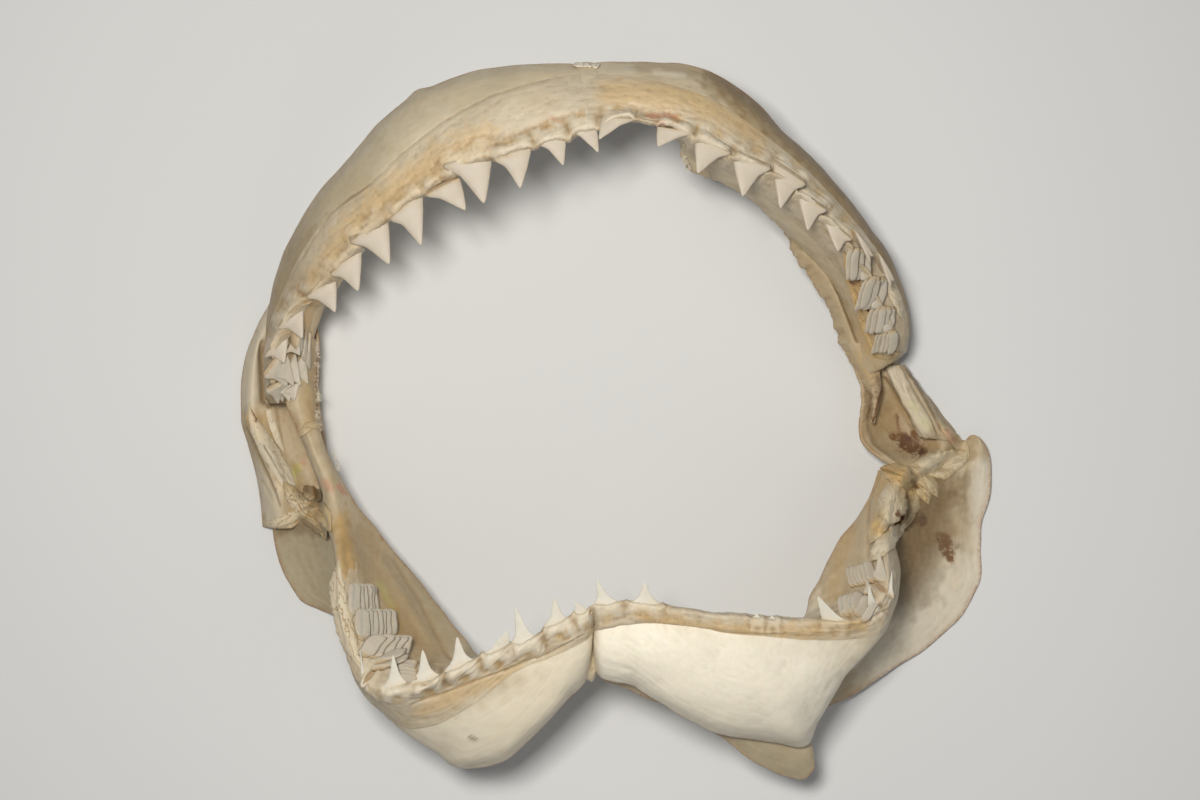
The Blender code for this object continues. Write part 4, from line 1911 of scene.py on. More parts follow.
@dataclass(frozen=True)
class Tissue:
    """Folds of tissue that dried into one crusty piece."""

    name: str
    folds: tuple[Fold, ...]
    seed: int
    stains: tuple[Stain, ...] = ()

    def make(self, finish: Material, ground: Ground) -> Thing:
        """Makes the piece.

        Args:
            finish: Its material.
            ground: What it lies on.

        Returns:
            The piece.
        """
        build = Build()
        for i, fold in enumerate(self.folds):
            front, back, flow, crease = fold.surface(ground, self.seed + 10 * i)
            seen, rough = seen_of(front), Noise(4.0, 3, self.seed).at(front)
            normals = grid_normals(front)
            marks = {name: np.zeros(crease.shape) for name in TINTS + ("rim",)}
            stained(self.stains, seen, rough, marks)
            # Painted shade in the creases and hollows of the fold.
            hollow = ((blurred(front, 4) - front) * normals).sum(-1)
            marks["dent"] = np.clip(0.9 * crease + 2.5 * hollow, 0, 1)
            marks["flow"] = flow
            build.add(*join_sides(front, back, normals, marks))
        return build.done(self.name, finish)


# ---- the studio


@dataclass(frozen=True)
class Studio:
    """Plain pale floor, soft lights and the camera that looks down the gape's axis."""

    LIGHTS: ClassVar[tuple] = (
        # name, place, size, watts, colour
        ("key", (-0.11, 0.12, 1.03), 0.17, 8.6, (1.0, 0.975, 0.93)),
        ("fill", (0.75, -0.35, 0.9), 0.9, 1.4, (0.95, 0.97, 1.0)),
        ("front", (0.0, -0.9, 0.7), 0.8, 0.8, (1.0, 0.98, 0.95)),
        ("back", (-0.2, 1.1, 0.6), 0.8, 0.8, (1.0, 0.98, 0.95)),
    )
    AIM: ClassVar[tuple] = (0, 0, 0.05)
    SENSOR: ClassVar[float] = 36.0

    eye: tuple[float, float, float] = (-0.0083, 0.0111, 1.0578)
    lens: float = 62.5
    half_floor: float = 6.0
    floor: Colour = (0.70, 0.70, 0.69, 1.0)
    sky: Colour = (0.80, 0.84, 0.9, 1)
    sky_strength: float = 0.10

    def make(self) -> None:
        """Makes the floor, the lights, the world and the camera."""
        mesh = bpy.data.meshes.new("studio_floor")
        far = self.half_floor
        mesh.from_pydata([(-far, -far, 0), (far, -far, 0), (far, far, 0), (-far, far, 0)], [], [(0, 1, 2, 3)])
        material, _, shader = new_material("pale_floor")
        set_all(shader, {"Base Color": self.floor, "Roughness": 0.85})
        mesh.materials.append(material)
        floor = bpy.data.objects.new("studio_floor", mesh)
        bpy.context.scene.collection.objects.link(floor)
        for light in self.LIGHTS:
            self._light(*light)
        world = bpy.data.worlds.new("studio")
        world.use_nodes = True
        background = world.node_tree.nodes["Background"].inputs
        set_all(background, {"Color": self.sky, "Strength": self.sky_strength})
        bpy.context.scene.world = world
        bpy.context.scene.view_settings.view_transform = "Standard"
        data = bpy.data.cameras.new("camera")
        data.lens, data.sensor_width = self.lens, self.SENSOR
        camera = bpy.data.objects.new("camera", data)
        camera.location = self.eye
        bpy.context.scene.collection.objects.link(camera)
        bpy.context.scene.camera = camera

    def _light(self, name: str, place: tuple, size: float, watts: float, colour: tuple) -> None:
        """Adds a square soft light that faces the jaws.

        Args:
            name: Name of the light.
            place: Where it stands.
            size: Its width.
            watts: Its power.
            colour: Its colour.
        """
        data = bpy.data.lights.new(name, "AREA")
        data.size, data.energy, data.color = size, watts, colour
        light = bpy.data.objects.new(name, data)
        light.location = place
        light.rotation_euler = (Vector(self.AIM) - Vector(place)).to_track_quat("-Z", "Y").to_euler()
        bpy.context.scene.collection.objects.link(light)


# ---- drawn shapes

# Each row of a wall is an angle, then the seen radius and the height of its points, and for some
# how many degrees more a point turns. Each row of a gum is an angle, then the radius where the
# gum starts, the radius of its margin and the margin's height.

UPPER_LEFT_ARCH = rows("""
    93.6: 337 88,326 100,303 109,281 110,271 104,272 94,281 85
    97.5: 339 88,328 100,303 110,277 110,266 104,269 93,280 84
    105.4: 347 85,335 99,306 109,276 109,264 102,268 90,283 79
    113: 354 80,341 95,311 106,279 106,266 98,270 85,286 74
    118: 357 77,345 92,314 103,282 104,268 96,272 82,287 71
    120.6: 361 74,348 90,316 102,283 102,269 94,273 80,287 69
    123: 358 73,346 89,315 100,284 101,270 92,274 78,287 67
    128: 355 68,343 85,313 97,285 97,272 88,276 73,287 63
    136: 349 60,339 77,312 91,288 91,276 81,280 66,288 55
    146: 349 47,339 66,316 80,294 81,281 71,283 56,291 43
    154: 349 35,339 56,319 70,299 72,286 62,288 48,296 37
    163.5: 344 18,338 38,323 50,306 52,293 46,292 37,299 30
    170: 340 17,336 33,326 43,311 43,299 40,292 34,289 28
    175.5: 336 17,334 29,327 37,315 37,303 35,293 31,284 27
    179.3: 335 17,333 26,327 32,316 33,305 32,294 30,283 26
    180.6: 331 19,330 23,325 27,315 29,305 29,296 28,288 25
""")
UPPER_LEFT_HINGE = rows("""
    163.6: 344 14,338 20,328 24,318 24,308 26,300 28
    168.5: 352 8,344 15,334 14,318 14,302 20,290 27
    173: 357 4,348 14,337 11,318 11,300 17,287 26
    179: 359 4,349 14,337 11,319 9,301 14,285 25
    183: 359 4,349 14,338 12,319 8,300 13,283 23
    187.3: 355 4,346 14,337 14,318 8,298 11,281 19
    191.6: 352 4.5,344 15,335 17,317 9,298 9,281 15
    196: 354 5,346 15,336 19,318 14,302 9,290 10
    200.3: 361 6 0.2,352 13 0.9,344 16 1.5,333 15 2.2,320 12 1.7,306 9 0.4
""")
UPPER_LEFT_LIP = rows("""
    168: 303 44,298 43,292 38,289 31
    172: 305 44,299 43,292 38,286 30
    176: 308 44,300 44,291 39,284 30
    180.5: 313 43,303 45,291 41,283 33
    183.2: 306 43 0.8,299 45 0.5,290 43 0.2,283 36
    185.6: 303 45 1.4,297 47 0.9,290 46 0.2,283 39 -0.6
""")
RIGHT_BAR = rows("""
    6.6: 286 14,288 19,296 20,301 19.5,303 18,305 17.5,308 13
    3: 292 14,294 20,302 21,309 20,311 18.5,315 17.5,318 12
    0: 299 14,301 20,310 21.5,318 20.5,320 18.5,325 17.5,330 12
    -3: 308 14,310 20,320 21.5,328 20.5,330 18.5,336 17.5,341 11
    -5.5: 316 14,318 19,328 21,336 20,338 18,346 17,352 11
    -6.6: 320 13,322 17,331 18,338 17.5,341 16.5,349 15.5,355 10
""")
LOWER_LEFT_WALL = rows("""
    184.5: 304 39 0.6,303 43 0.5,300 45 0.4,296 46 0.2,292 45 0,288 44 -0.2,283 40 -0.4
    190: 298 37,297 42,295 45,291 47,287 46,283 44,278 39
    197.4: 294 34,293 41,291 46,286 49,281 49,276 46,270 38
    203.4: 299 24,300 40,298 49,293 53,285 53,276 47,265 36
    210: 302 18,307 38,307 56,303 66,292 62,276 48,258 33
    218: 320 18,329 42,331 64,327 78,311 73,286 54,256 33
    222: 338 20,346 46,345 69,340 83,321 78,289 57,255 34
    226: 352 24,361 50,361 73,354 88,330 82,293 60,256 35
    229.2: 364 34,372 56,371 78,362 92,333 85,296 61,259 37
    233: 371 42,379 62,378 82,364 95,333 86,298 62,263 39
    236: 374 50,382 67,376 85,354 95,326 86,297 63,268 43
    240.5: 381 56,386 71,366 87,328 93,312 85,295 66,275 48
    245: 388 58,387 74,354 92,302 98,291 90,287 74,284 56
    248: 395 60,389 78,345 96,286 100,276 92,273 78,272 62
    252: 386 69,373 87,328 99,268 101,260 94,259 82,260 70
    255: 374 76,359 91,312 101,257 102,248 96,248 86,249 75
    258: 350 82,334 95,294 102,246 103,238 98,238 89,240 79
    261.2: 324 86,311 97,281 103,241 104,233 99,234 91,236 82
    264: 299 88,289 98,268 104,236 105,228 100,229 93,232 84
    266.4: 286 87,277 96,260 102.5,232 104,225 100,227 93,230 85
    267.6: 276 86,268 93,255 99.5,232 101.5,226 98,228 91,231 85
    268.2: 265 88,260 91,251 94.5,234 96,229 94,230 90,232 86
""")
LOWER_LEFT_WING = rows("""
    200.8: 350 9,335 12,316 18,298 28
    203: 354 5,336 9,316 15,298 26
    208.9: 360 4,342 7,322 13,304 24
    213.3: 360 4,344 7,326 14,310 24
    216.5: 351 5,341 9,330 15,318 24
    219.8: 340 12,336 15,332 18,327 24
""")
LOWER_RIGHT_PLATE = rows("""
    268.5: 262 88,257 91,247 94.5,230 96,224 94,226 90,229 86
    269: 270 88,263 94,250 100,227 101.5,220 98,222 92,227 85
    270.2: 278 90,270 98,253 104,226 104,218 100,221 93,226 85
    272: 281 91,273 99,255 105,224 105,215 101,218 93,222 84
    276: 286 90,276 100,256 106,222 105,214 100,216 92,221 84
    280: 302 88,290 99,262 107,222 105,213 100,215 92,220 83
    284.8: 329 83,314 97,272 107,225 105,216 100,217 92,221 82
    289.9: 356 76,340 93,289 106,233 104,224 99,224 90,228 80
    293.4: 370 70,354 90,303 104,240 103,232 98,232 88,237 77
    296.9: 385 66,368 87,318 102,250 102,242 96,242 86,244 74
    300.9: 404 60,386 82,332 100,262 101,254 94,252 82,253 70
    304: 390 60,381 78,342 96,272 100,264 92,261 79,262 64
    308: 378 64,374 80,346 93,287 98,279 89,276 74,276 56
    313: 368 68,368 82,352 90,310 95,302 85,299 68,298 47
    317: 365 70,367 83,357 88,330 91,317 82,306 62,287 42
    321: 362 66,367 82,361 88,346 89,330 80,309 60,283 38
    325: 355 54,360 70,357 81,346 87,329 78,306 58,279 36
    330: 341 36,346 54,343 68,334 76,318 68,298 50,277 34
    335.5: 316 28,322 45,320 58,311 64,301 58,291 44,282 32
    341: 308 22,315 36,314 50,306 55,299 50,292 40,286 31
    345.8: 312 18,317 30,315 42,308 46,300 42,293 36,287 30
""")
LOWER_RIGHT_WING = rows("""
    303: 376 28,366 34,355 42,342 50,330 58
    308.3: 385 20,373 26,358 34,340 46,320 58
    313: 391 15,378 19,362 26,340 38,315 50
    318: 398 9,385 13,368 20,344 32,318 44
    322: 408 5,393 9,374 16,350 27,322 40
    326: 415 4,399 8,378 13,352 22,325 36
    330: 421 4,402 7,376 12,348 20,322 32
    334: 421 4,399 7,370 11,340 18,308 28
    339: 407 5,388 7,362 10,332 17,300 26
    342.6: 400 5,382 8,358 11,330 17,298 25
    346: 401 6,384 9,360 12,334 15,302 18
    349: 398 6,384 9.5,366 11,350 6.5,335 4
    351.7: 394 7,386 10,378 9,370 6,362 3.5
    353.6: 387 9,383 10.5,378 9,373 6.5,368 4.5
    354.5: 380 9,378 9.5,376 8.5,374 7.5,372 6.5
""")
LOWER_RIGHT_FLANGE = rows("""
    288.6: 350 68,345 70,340 71,335 72
    290: 360 64,354 67,349 69,343 70
    292: 383 58,371 62,362 66,352 69
    294.1: 402 54,387 59,373 63,360 67
    296: 418 50,401 56,384 61,368 65
    298.4: 431 48,414 54,394 58,376 62
    300.1: 427 49,414 54,396 57,378 60
    301.6: 408 52,400 55,390 57,378 60
""")
LOWER_RIGHT_TUCK = rows("""
    270.6: 281 80,276 84,270 87,264 90
    275.4: 290 78,283 82,276 86,268 90
    279.4: 303 76,295 80,286 84,276 89
    281.6: 309 77,303 80,296 84,288 88
""")
UPPER_RIGHT_ARCH = rows("""
    8.3: 309 14 0.6,309 24 0.4,305 31 -0.2,297 34 -0.9,285 32 -1.8,273 28 -2.6,264 25 -3
    9.4: 312 11 0.3,312 28 0.2,308 38 -0.1,299 41 -0.4,284 36 -0.9,268 29 -1.4,258 24 -1.6
    14: 320 14,319 34,311 46,299 49,284 42,268 31,257 24
    20: 323 22,321 42,311 54,297 57,281 49,266 36,257 28
    26: 324 32,320 50,309 62,294 65,278 57,264 43,256 33
    33: 321 44,317 60,306 72,290 75,274 65,260 51,252 40
    40: 320 53,315 68,303 80,287 83,271 73,257 59,250 47
    47: 322 61,315 76,301 87,284 90,267 80,254 66,249 54
    55: 325 69,317 84,300 94,282 97,266 87,255 73,250 61
    62: 336 76,326 90,305 100,282 102,266 93,256 79,249 67
    69.6: 345 81,333 95,309 105,284 107,268 99,259 85,252 73
    73.5: 346 85,334 98,309 108,288 108,278 101,272 90,272 78
    76: 346 86,334 99,309 109,290 109,284 103,283 92,286 80
    81: 341 87,330 100,307 109,290 109,285 103,284 92,287 81
    91.2: 337 88,326 100,303 109,288 109,282 104,281 94,285 85
""")
UPPER_RIGHT_LINING = rows("""
    -4.9: 274.5 19,274 21,273.5 21,273 19
    -3: 278 18,276 23,273 23,270 18
    0: 281 19,278 24,273 24,269 19
    2.4: 283 21,279 26,273 26,266 20
    5.5: 281 25,275 27,268 27,260 22
    9: 281 28,273 28,263 28,253 22
    14.6: 280 33,269 30,258 30,246 22
    21: 278 38,266 34,258 35,246 27
    25.5: 276 43,265 38,258 39,244 31
    31: 272 49,263 43,255 43,242 36
    36: 268 55,259 47,252 47,242 41
    44: 264 65,254 56,252 55,250 49
    49: 262 71,256 62,254 60,249 54
    54: 262 77,258 69,257 66,252 59
    58.3: 264 82,260 75,257 71,250 64
    63.5: 264 87,260 81,256 77,248 69
    68.6: 266 92,262 88,257 82,246 74
    72: 268 95,266 92,263 86,258 80
""")
UPPER_RIGHT_HINGE = rows("""
    -13.2: 325 18,322 20,319 20,316 20,313 20.5,310 21
    -11.4: 338 15,330 19,319 18,308 18,298 19,288 21
    -10: 347 10,336 16,321 14,305 13,288 16,274 20
    -7.5: 362 5,347 14,329 9,307 8,283 12,264 19
    -5.2: 357 4,343 15,327 9,304 6,281 10,263 18
    -3: 345 4,331 16,316 10,297 6,279 11,264 19
    0: 331 4,318 16,304 13,289 8,276 13,265 20
    3.2: 316 5,305 17,293 16,281 12,273 16,263 20
    6.4: 301 10,295 17,287 17,277 17,268 19,258 20
    9.6: 300 12,294 17,286 17,277 18,267 19,256 20
""")

UL_GUM = rows("""
    92.35: 326 267 117; 93.6: 326 267 117; 99: 324 261 117; 110: 322 261 115; 119.7: 319 267 109
    127.3: 315 270 104; 136.5: 314 275 97; 145.5: 326 283 87; 153: 332 290 78; 159: 334 301 68
    163: 336 316 62; 167: 338 323 58; 172: 338 328 52; 176: 337 330 48; 180.2: 334 328 45
""")
UR_GUM = rows("""
    8.6: 311 303 50; 14: 317 301 57; 20: 318 296 65; 26: 316 292 74; 33: 312 289 83; 40: 309 287 91
    47: 308 284 98; 55: 310 279 105; 62: 314 275 110; 69.6: 320 277 114; 76: 322 281 117
    83: 324 283 118; 88: 325 276 117.5; 92.5: 326 267 117
""")
LL_GUM = rows("""
    213.5: 312 316 74; 218.5: 329 333 82; 226: 361 352 92; 231.4: 374 366 98; 234.6: 379 350 101
    238.6: 381 329 103; 242.4: 368 297 105; 247.4: 329 268 107; 253: 283 247 109; 259: 262 223 110
    264.6: 246 209 112; 268.4: 236 206 112
""")
LR_GUM = rows("""
    268.5: 230 204 112; 275.4: 224 202 112; 278.5: 223 203 112; 285.7: 229 213 112; 292.7: 243 228 110
    296.8: 259 239 109; 304.5: 286 263 106; 311.7: 321 295 101; 315.8: 343 317 98; 320.7: 364 343 95
    326: 358 344 92; 331: 338 328 81; 334: 326 316 73
""")

# Each tooth is its blank, height, rise and thickness, then its mesial corner, tip and distal
# corner. Each file is its blank and count, the heights and the rises of its first and last tooth,
# their thickness and tilt, then the corners of both.

UL_TEETH = teeth("""
    upper 0 2: 596 124, 598 152, 570 131
    upper 0 2: 566 131, 563 165, 537 144
    upper 0 2: 532 147, 520 188, 494 160
    upper 0 2: 493 148, 484 203, 443 167
    upper 0 2: 460 178, 465 210, 426 196
    upper 0 2: 423 192, 421 245, 390 220
    upper 0 2: 388 215, 389 264, 350 243
    upper 0 2: 362 248, 358 291, 330 275
    upper 0 2: 336 276, 335 312, 306 298
    upper 0 2: 303 298, 302 338, 278 329
    upper 0 2: 289 330, 284 363, 264 357
    upper 0 2: 297 334, 300 355, 286 353
""")
UR_TEETH = teeth("""
    upper 0 2: 602 118, 599.5 139, 634 120
    upper 0 2: 657 127, 658.5 146, 694 134
    upper 0 2: 695 136, 698 173, 731 154
    upper 0 2: 732 155, 743 196, 771 169
    upper 0 2: 773 163, 780.5 208, 806 185
    upper 0 2: 797 192, 808 230, 827 211
    upper 0 2: 822 216, 838 251, 852 240
    upper 0 2: 854 230, 871 263, 873 256
    upper 0 2: 878 253, 891 286, 894 281
""")
LL_TEETH = teeth("""
    upper 0 3: 589 610, 575 603, 573 618
    lower 0 3: 573 621, 554 597, 543 627
    lower 0 3: 543 641, 515 607, 509 647
    upper 0 3 0.7: 510 648, 506.6 630, 481 657
    lower 0 3: 477 661, 457 637, 444 672
    lower 0 3: 441 676, 422.5 650, 410 684
    lower 0 3: 410 684, 393 655, 381 690
    lower 0 3 1.4: 367 682, 360.3 649, 360 684
""")
LR_TEETH = teeth("""
    lower 0.5 3: 591 607, 597 581, 622 603
    lower 0.5 3: 627 604, 645 582, 663 605
    upper 0 1 0.6: 750 620, 757 614, 765 620
    upper 0 1 0.6: 766 621, 772 616, 780 621
    upper 0 4: 822 620, 818 596.5, 848 622
    upper 1 4: 868 614, 869 585, 879 606
    upper 2 4 1.3: 888 593, 891.8 571, 894 596
""")
LR_BUDS = teeth("""
    upper 0 2: 668 612, 682 600, 698 616
    upper 0 2: 702 618, 716 606, 734 621
    upper 0 2: 786 626, 800 612, 814 626
""")
UL_FILES = files("""
    upper 4 2.4 1.2 0.8 0.8 1 0: 281 358, 288 387, 266 378, 303 352, 307 384, 291 378
    upper 4 2.4 1.2 0.5 0.5 1 0: 283 384, 278 403, 266 392, 300 382, 294 401, 284 392
    spare 3 2.4 1.2 0.5 0.5 1 0: 302 318, 304 352, 296 350, 309 330, 311 368, 305 362
""")
UR_FILES = files("""
    rib 4 0.8 1.2 0.5 0.5 1 0.4: 848 253, 848 280, 854 252, 862 254, 865 281, 870 254
    rib 5 0.8 1.2 0.5 0.5 1 0.4: 864 282, 858 309, 871 281, 880 281, 877 309, 888 281
    rib 5 0.8 1.2 0.5 0.5 1 0.4: 871 310, 867 333, 877 310, 888 310, 887 333, 895 311
    rib 5 0.8 1.2 0.5 0.5 1 0.4: 877 334, 874 353, 883 334, 891 334, 892 353, 898 334
""")
LL_FILES = files("""
    rib 7 1 1 0.6 0.6 1 -0.45: 356 611, 353 583, 349 609, 378 609, 374 584, 371 608
    rib 8 1 1 0.6 0.6 1 -0.45: 364 636, 361 609, 357 634, 394 633, 392 609, 387 632
    rib 5 1 1 0.6 0.6 0.7 -0.3: 371 654, 382 635, 360 652, 404 656, 408 635, 393 656
    rib 2 1 1 0.6 0.6 0.5 0: 390 658, 394 649, 364 662, 392 664, 398 655, 368 668
    rib 5 1 1 1 1 0.8 0.3: 414 667, 397 663, 415 661, 414 682, 398 678, 415 676
""")
LR_FILES = files("""
    rib 4 0.8 1.2 0.6 0.6 1 -0.3: 846 614, 843 596, 839 613, 860 610, 858 592, 852 609
    rib 3 0.8 1.2 0.6 0.6 0.8 -0.3: 856 611, 860 591, 848 606, 868 620, 876 602, 862 618
    rib 6 0.8 1.2 0.6 0.6 1 -0.3: 856 584, 850 567, 849 583, 875 579, 868 562, 867 579
    upper 2 0.8 1.2 2 4 1 0: 876 592, 865 578, 864 592, 888 580, 879 554, 872 576
""")

UPPER_SEATS = tuple(map(Seat.of, UL_TEETH + UR_TEETH))
UPPER_CREASE = (
    (289, 281), (310, 246), (331, 215), (350, 198), (372, 184), (392, 165), (409, 149), (442, 123),
    (490, 97), (549, 80),
)
WHOLE = (2.0, 3.6, 4.2, 3.4, 3.6, 3.2, 1.8)  # mm, thickness across a whole wall
ARCH = (14, 26, 22, 12, 14, 12)  # fine points across an upper arch
STRIP = (1.5, 3.0, 3.5, 3.5, 3.0, 1.5)
STRIP_SPANS = (8, 16, 14, 8, 8)
BUD_STRENGTH = 0.3
SHALLOW = 0.9  # mm that the upper right roots are sunk


@dataclass
class HalfJaw:
    """One half of a jaw: its walls, its gum and its teeth."""

    CHIPS: ClassVar[tuple[float, float]] = (0.0004, 0.0012)  # metres, front and spare teeth

    name: str
    walls: tuple[Shell, ...]
    gum: GumBand
    teeth: tuple[Tooth, ...]
    files: tuple[ToothFile, ...]
    seed: int

    def seated(self) -> list[Tooth]:
        """The front teeth, each at the height of the gum's margin beneath it.

        Returns:
            The teeth in their order.
        """
        ordered = sorted(self.gum.rows)
        angles, tops = [row[0] for row in ordered], [row[1][2] for row in ordered]
        found = []
        for tooth in self.teeth:
            top = np.interp(Seat.of(tooth).middle, angles, tops)
            found.append(replace(tooth, height=float(top) + tooth.height))
        return found

    def lay(self, cartilage: Material, gum: Material, ground: Ground) -> None:
        """Makes the walls and the gum, ties them to the frame and adds them to the ground.

        Args:
            cartilage: Finish of the walls.
            gum: Finish of the gum.
            ground: What later pieces lie on.
        """
        build = Build()
        for wall in self.walls:
            wall.close(build)
        shell = build.done(f"{self.name}_cartilage_wall", cartilage)
        keep(shell, "cartilage", f"{self.name}_cartilage")
        build = Build()
        self.gum.close(build)
        keep(build.done(f"{self.name}_gum", gum), "gum", f"{self.name}_gum_teeth")
        for piece in (*self.walls, self.gum):
            ground.add(piece.laid[0])

    def plant(self, enamel: Sequence[Material], dentition: Dentition, ground: Ground) -> None:
        """Sets the teeth and ties them to the frame.

        Args:
            enamel: Finishes of the front and of the spare teeth.
            dentition: What sets the teeth.
            ground: What the spare teeth lie on.
        """
        spare = [tooth for row in self.files for tooth in row.teeth(ground)]
        sets = {"teeth": self.seated(), "spare_teeth": spare}
        for i, (kind, set_of_teeth) in enumerate(sets.items()):
            name = f"{self.name}_{kind}"
            piece = dentition.place(name, set_of_teeth, self.CHIPS[i], self.seed + i, enamel[i])
            keep(piece, "enamel")


def keep(piece: Thing, slot: str, *nodes: str) -> None:
    """Ties a finished piece to the frame and logs it.

    Args:
        piece: The piece.
        slot: Its material slot; not used.
        nodes: The CAD nodes that it stands for.
    """
    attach(piece, BODY)
    if nodes:
        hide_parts(*nodes)
    count = sum(len(face.vertices) - 2 for face in piece.data.polygons)
    LOG.info("%s: %d triangles", piece.name, count)


# In the halves below, a stroke is its width and height and a stain its tint, width, strength and
# raggedness, then the places of its line. A fold is its rise, roughness and tearing, then places
# with half widths.


def upper_left() -> HalfJaw:
    """The upper left half: its arch, the plate of its joint and a lip inside it.

    Returns:
        The half jaw.
    """
    # The broad tan by the joint is painted shade where the arch runs low, and the shade along the crease is
    # painted shade.
    arch = Shell(
        UPPER_LEFT_ARCH, ARCH, WHOLE, seed=11,
        strokes=(Stroke(UPPER_CREASE, 1.6, -0.5),),
        stains=stains("""
            grey 26 0.3: 290 262, 345 175, 410 110, 500 76; tan 30 0.85: 272 350, 282 300, 306 250
        """) + (Stain(SHADE, UPPER_CREASE, 1.5, 0.6),),
    )
    hinge = Shell(
        UPPER_LEFT_HINGE, (12, 12, 16, 16, 14), (2.0, 4.0, 3.6, 3.0, 3.0, 2.0), seed=12, age=0.6,
        strokes=strokes("""
            5 1.6: 250 418, 262 442, 276 470, 290 492, 300 512
            1.2 -0.7: 247 428, 256 448, 270 480, 280 505; 1.2 -0.8: 270 425, 280 452, 292 478
            1.4 -0.5: 262 480, 272 500; 4 -2.5: 263 345, 265 400; 3 1.2: 268 405, 274 412, 277 440
            5 1.2: 290 470, 297 480, 293 492
        """),
        stains=stains("""
            pale 13 0.4: 262 310, 248 360, 247 400; pale 14 0.35 0.9: 262 480, 275 515
            shade 1.6 0.7: 247 428, 256 448, 270 480, 280 505; shade 1.5 0.7: 270 425, 280 452, 292 478
            tan 14 0.55: 285 405, 292 440, 300 475; shade 4 0.7: 306 415, 316 450, 324 485
            lime 5 0.9: 298 468, 290 478; honey 9 0.8: 252 420, 270 450, 292 492, 300 515
            red 3 0.4: 303 463; shade 4 0.7: 264 350, 266 402; brown 4 0.5: 292 500, 300 512
        """),
    )
    lip = Shell(
        UPPER_LEFT_LIP, (10, 10, 12), (1.6, 1.8, 1.8, 1.2), seed=13, ragged=(0.3, 0.6),
        stains=stains("honey 9 0.5: 310 340, 312 420"),
    )
    gum = GumBand(
        UL_GUM, over=arch, seats=UPPER_SEATS, seed=14, rim=0.0, tapers=(False, True), recess=6.0,
        stains=stains("""
            honey 16 0.6: 290 345, 345 240, 420 172, 480 140; honey 15 0.55 0.3: 614 92, 690 96, 760 130
            red 3 0.35: 552 118, 560 122
        """),
    )
    return HalfJaw("upper_left", (arch, hinge, lip), gum, UL_TEETH, UL_FILES, 51)


def upper_right() -> HalfJaw:
    """The upper right half: its arch, the inner lining, and the plate and bar of its joint.

    Returns:
        The half jaw.
    """
    # The broad tan and the shade along the outer side are painted shade, where the arch turns from the light.
    arch = Shell(
        UPPER_RIGHT_ARCH, ARCH, WHOLE, seed=11,
        stains=stains("""
            tan 22 1: 720 76, 790 135, 850 200, 893 262, 908 330; honey 14 0.5: 840 190, 885 255, 902 320
            tan 8 0.5: 640 66, 700 72; shade 8 0.5: 715 74, 790 132, 850 196, 896 262
            pale 3 0.45: 655 73, 684 75; honey 9 0.9: 852 256, 862 290, 868 320, 874 350
            shade 2.5 0.6: 856 283, 884 283; shade 2.5 0.6: 866 311, 890 311; plum 3 0.4: 817 160, 826 168
        """),
    )
    lining = Shell(
        UPPER_RIGHT_LINING, (12, 12, 14), (2.4, 2.2, 2.4, 1.4), seed=22, ragged=(0.0, 1.3), rim=0.4,
        strokes=strokes("""
            2.4 -1.4: 779 225, 808 251, 827 267, 841 295, 858 340
            5 0.8: 770 225, 800 268, 828 312, 836 340
        """),
        stains=stains("""
            shade 3 0.8: 779 225, 808 251, 827 267, 841 295, 858 340; honey 10 0.2: 790 245, 812 272
            honey 9 0.6: 866 358, 872 375; brown 7 0.5 0.2: 876 380, 873 400, 870 422
            brown 1.6 0.8: 884 380, 878 402, 873 422; tan 22 0.5: 740 190, 800 250, 835 320
        """),
    )
    hinge = Shell(
        UPPER_RIGHT_HINGE, (12, 12, 14, 14, 12), (2.0, 4.0, 3.6, 2.8, 2.8, 1.8), seed=23,
        ragged=(0.3, 0.4), rim=0.3,
        strokes=strokes("""
            2.6 -1.5: 884 380, 903 412, 925 445; 2 -1.6: 880 374, 877 395, 870 418
            1.8 -0.8: 918 385, 935 412, 950 436; 3.5 0.9: 903 470, 870 446, 863 425
        """),
        stains=stains("""
            plum 9 1 0.35: 905 443, 918 449; brown 5 1 0.4: 893 436, 905 438, 912 440
            brown 4.5 1 0.4: 913 433, 924 430; brown 2.6 0.8: 897 414, 899 428
            lime 5 0.8: 912 402, 919 412; lime 6 0.6: 926 424; honey 12 0.4: 880 425, 895 410
        """),
    )
    bar = Shell(
        RIGHT_BAR, (5, 14, 14, 4, 8, 5), (1.5, 3.0, 3.0, 3.0, 2.0, 2.0, 1.5), seed=25, step=0.3,
        waves=0.3, grain=0.4, rim=0.4, rim_width=0.8, ragged=(0.3, 1.0),
        stains=stains("""
            pale 10 0.35: 892 372, 925 425; tan 6 0.45: 915 380, 934 408, 950 432
            shade 1.4 0.7: 906 370, 919 388, 931 411, 940 430; red 3 0.4: 940 425, 950 436
            lime 4 0.7: 911 403, 917 411; lime 5 0.6: 922 420, 928 426
        """),
    )
    gum = GumBand(
        UR_GUM, over=arch, seats=UPPER_SEATS, seed=14, rim=0.0, tapers=(True, False), recess=6.0,
        stains=stains("""
            honey 15 0.55 0.3: 614 92, 690 96, 760 130; red 3 0.6: 648 116, 675 117; red 6 0.25: 660 119
        """),
    )
    teeth = tuple(replace(tooth, sunk=SHALLOW) for tooth in UR_TEETH)
    return HalfJaw("upper_right", (arch, lining, hinge, bar), gum, teeth, UR_FILES, 53)


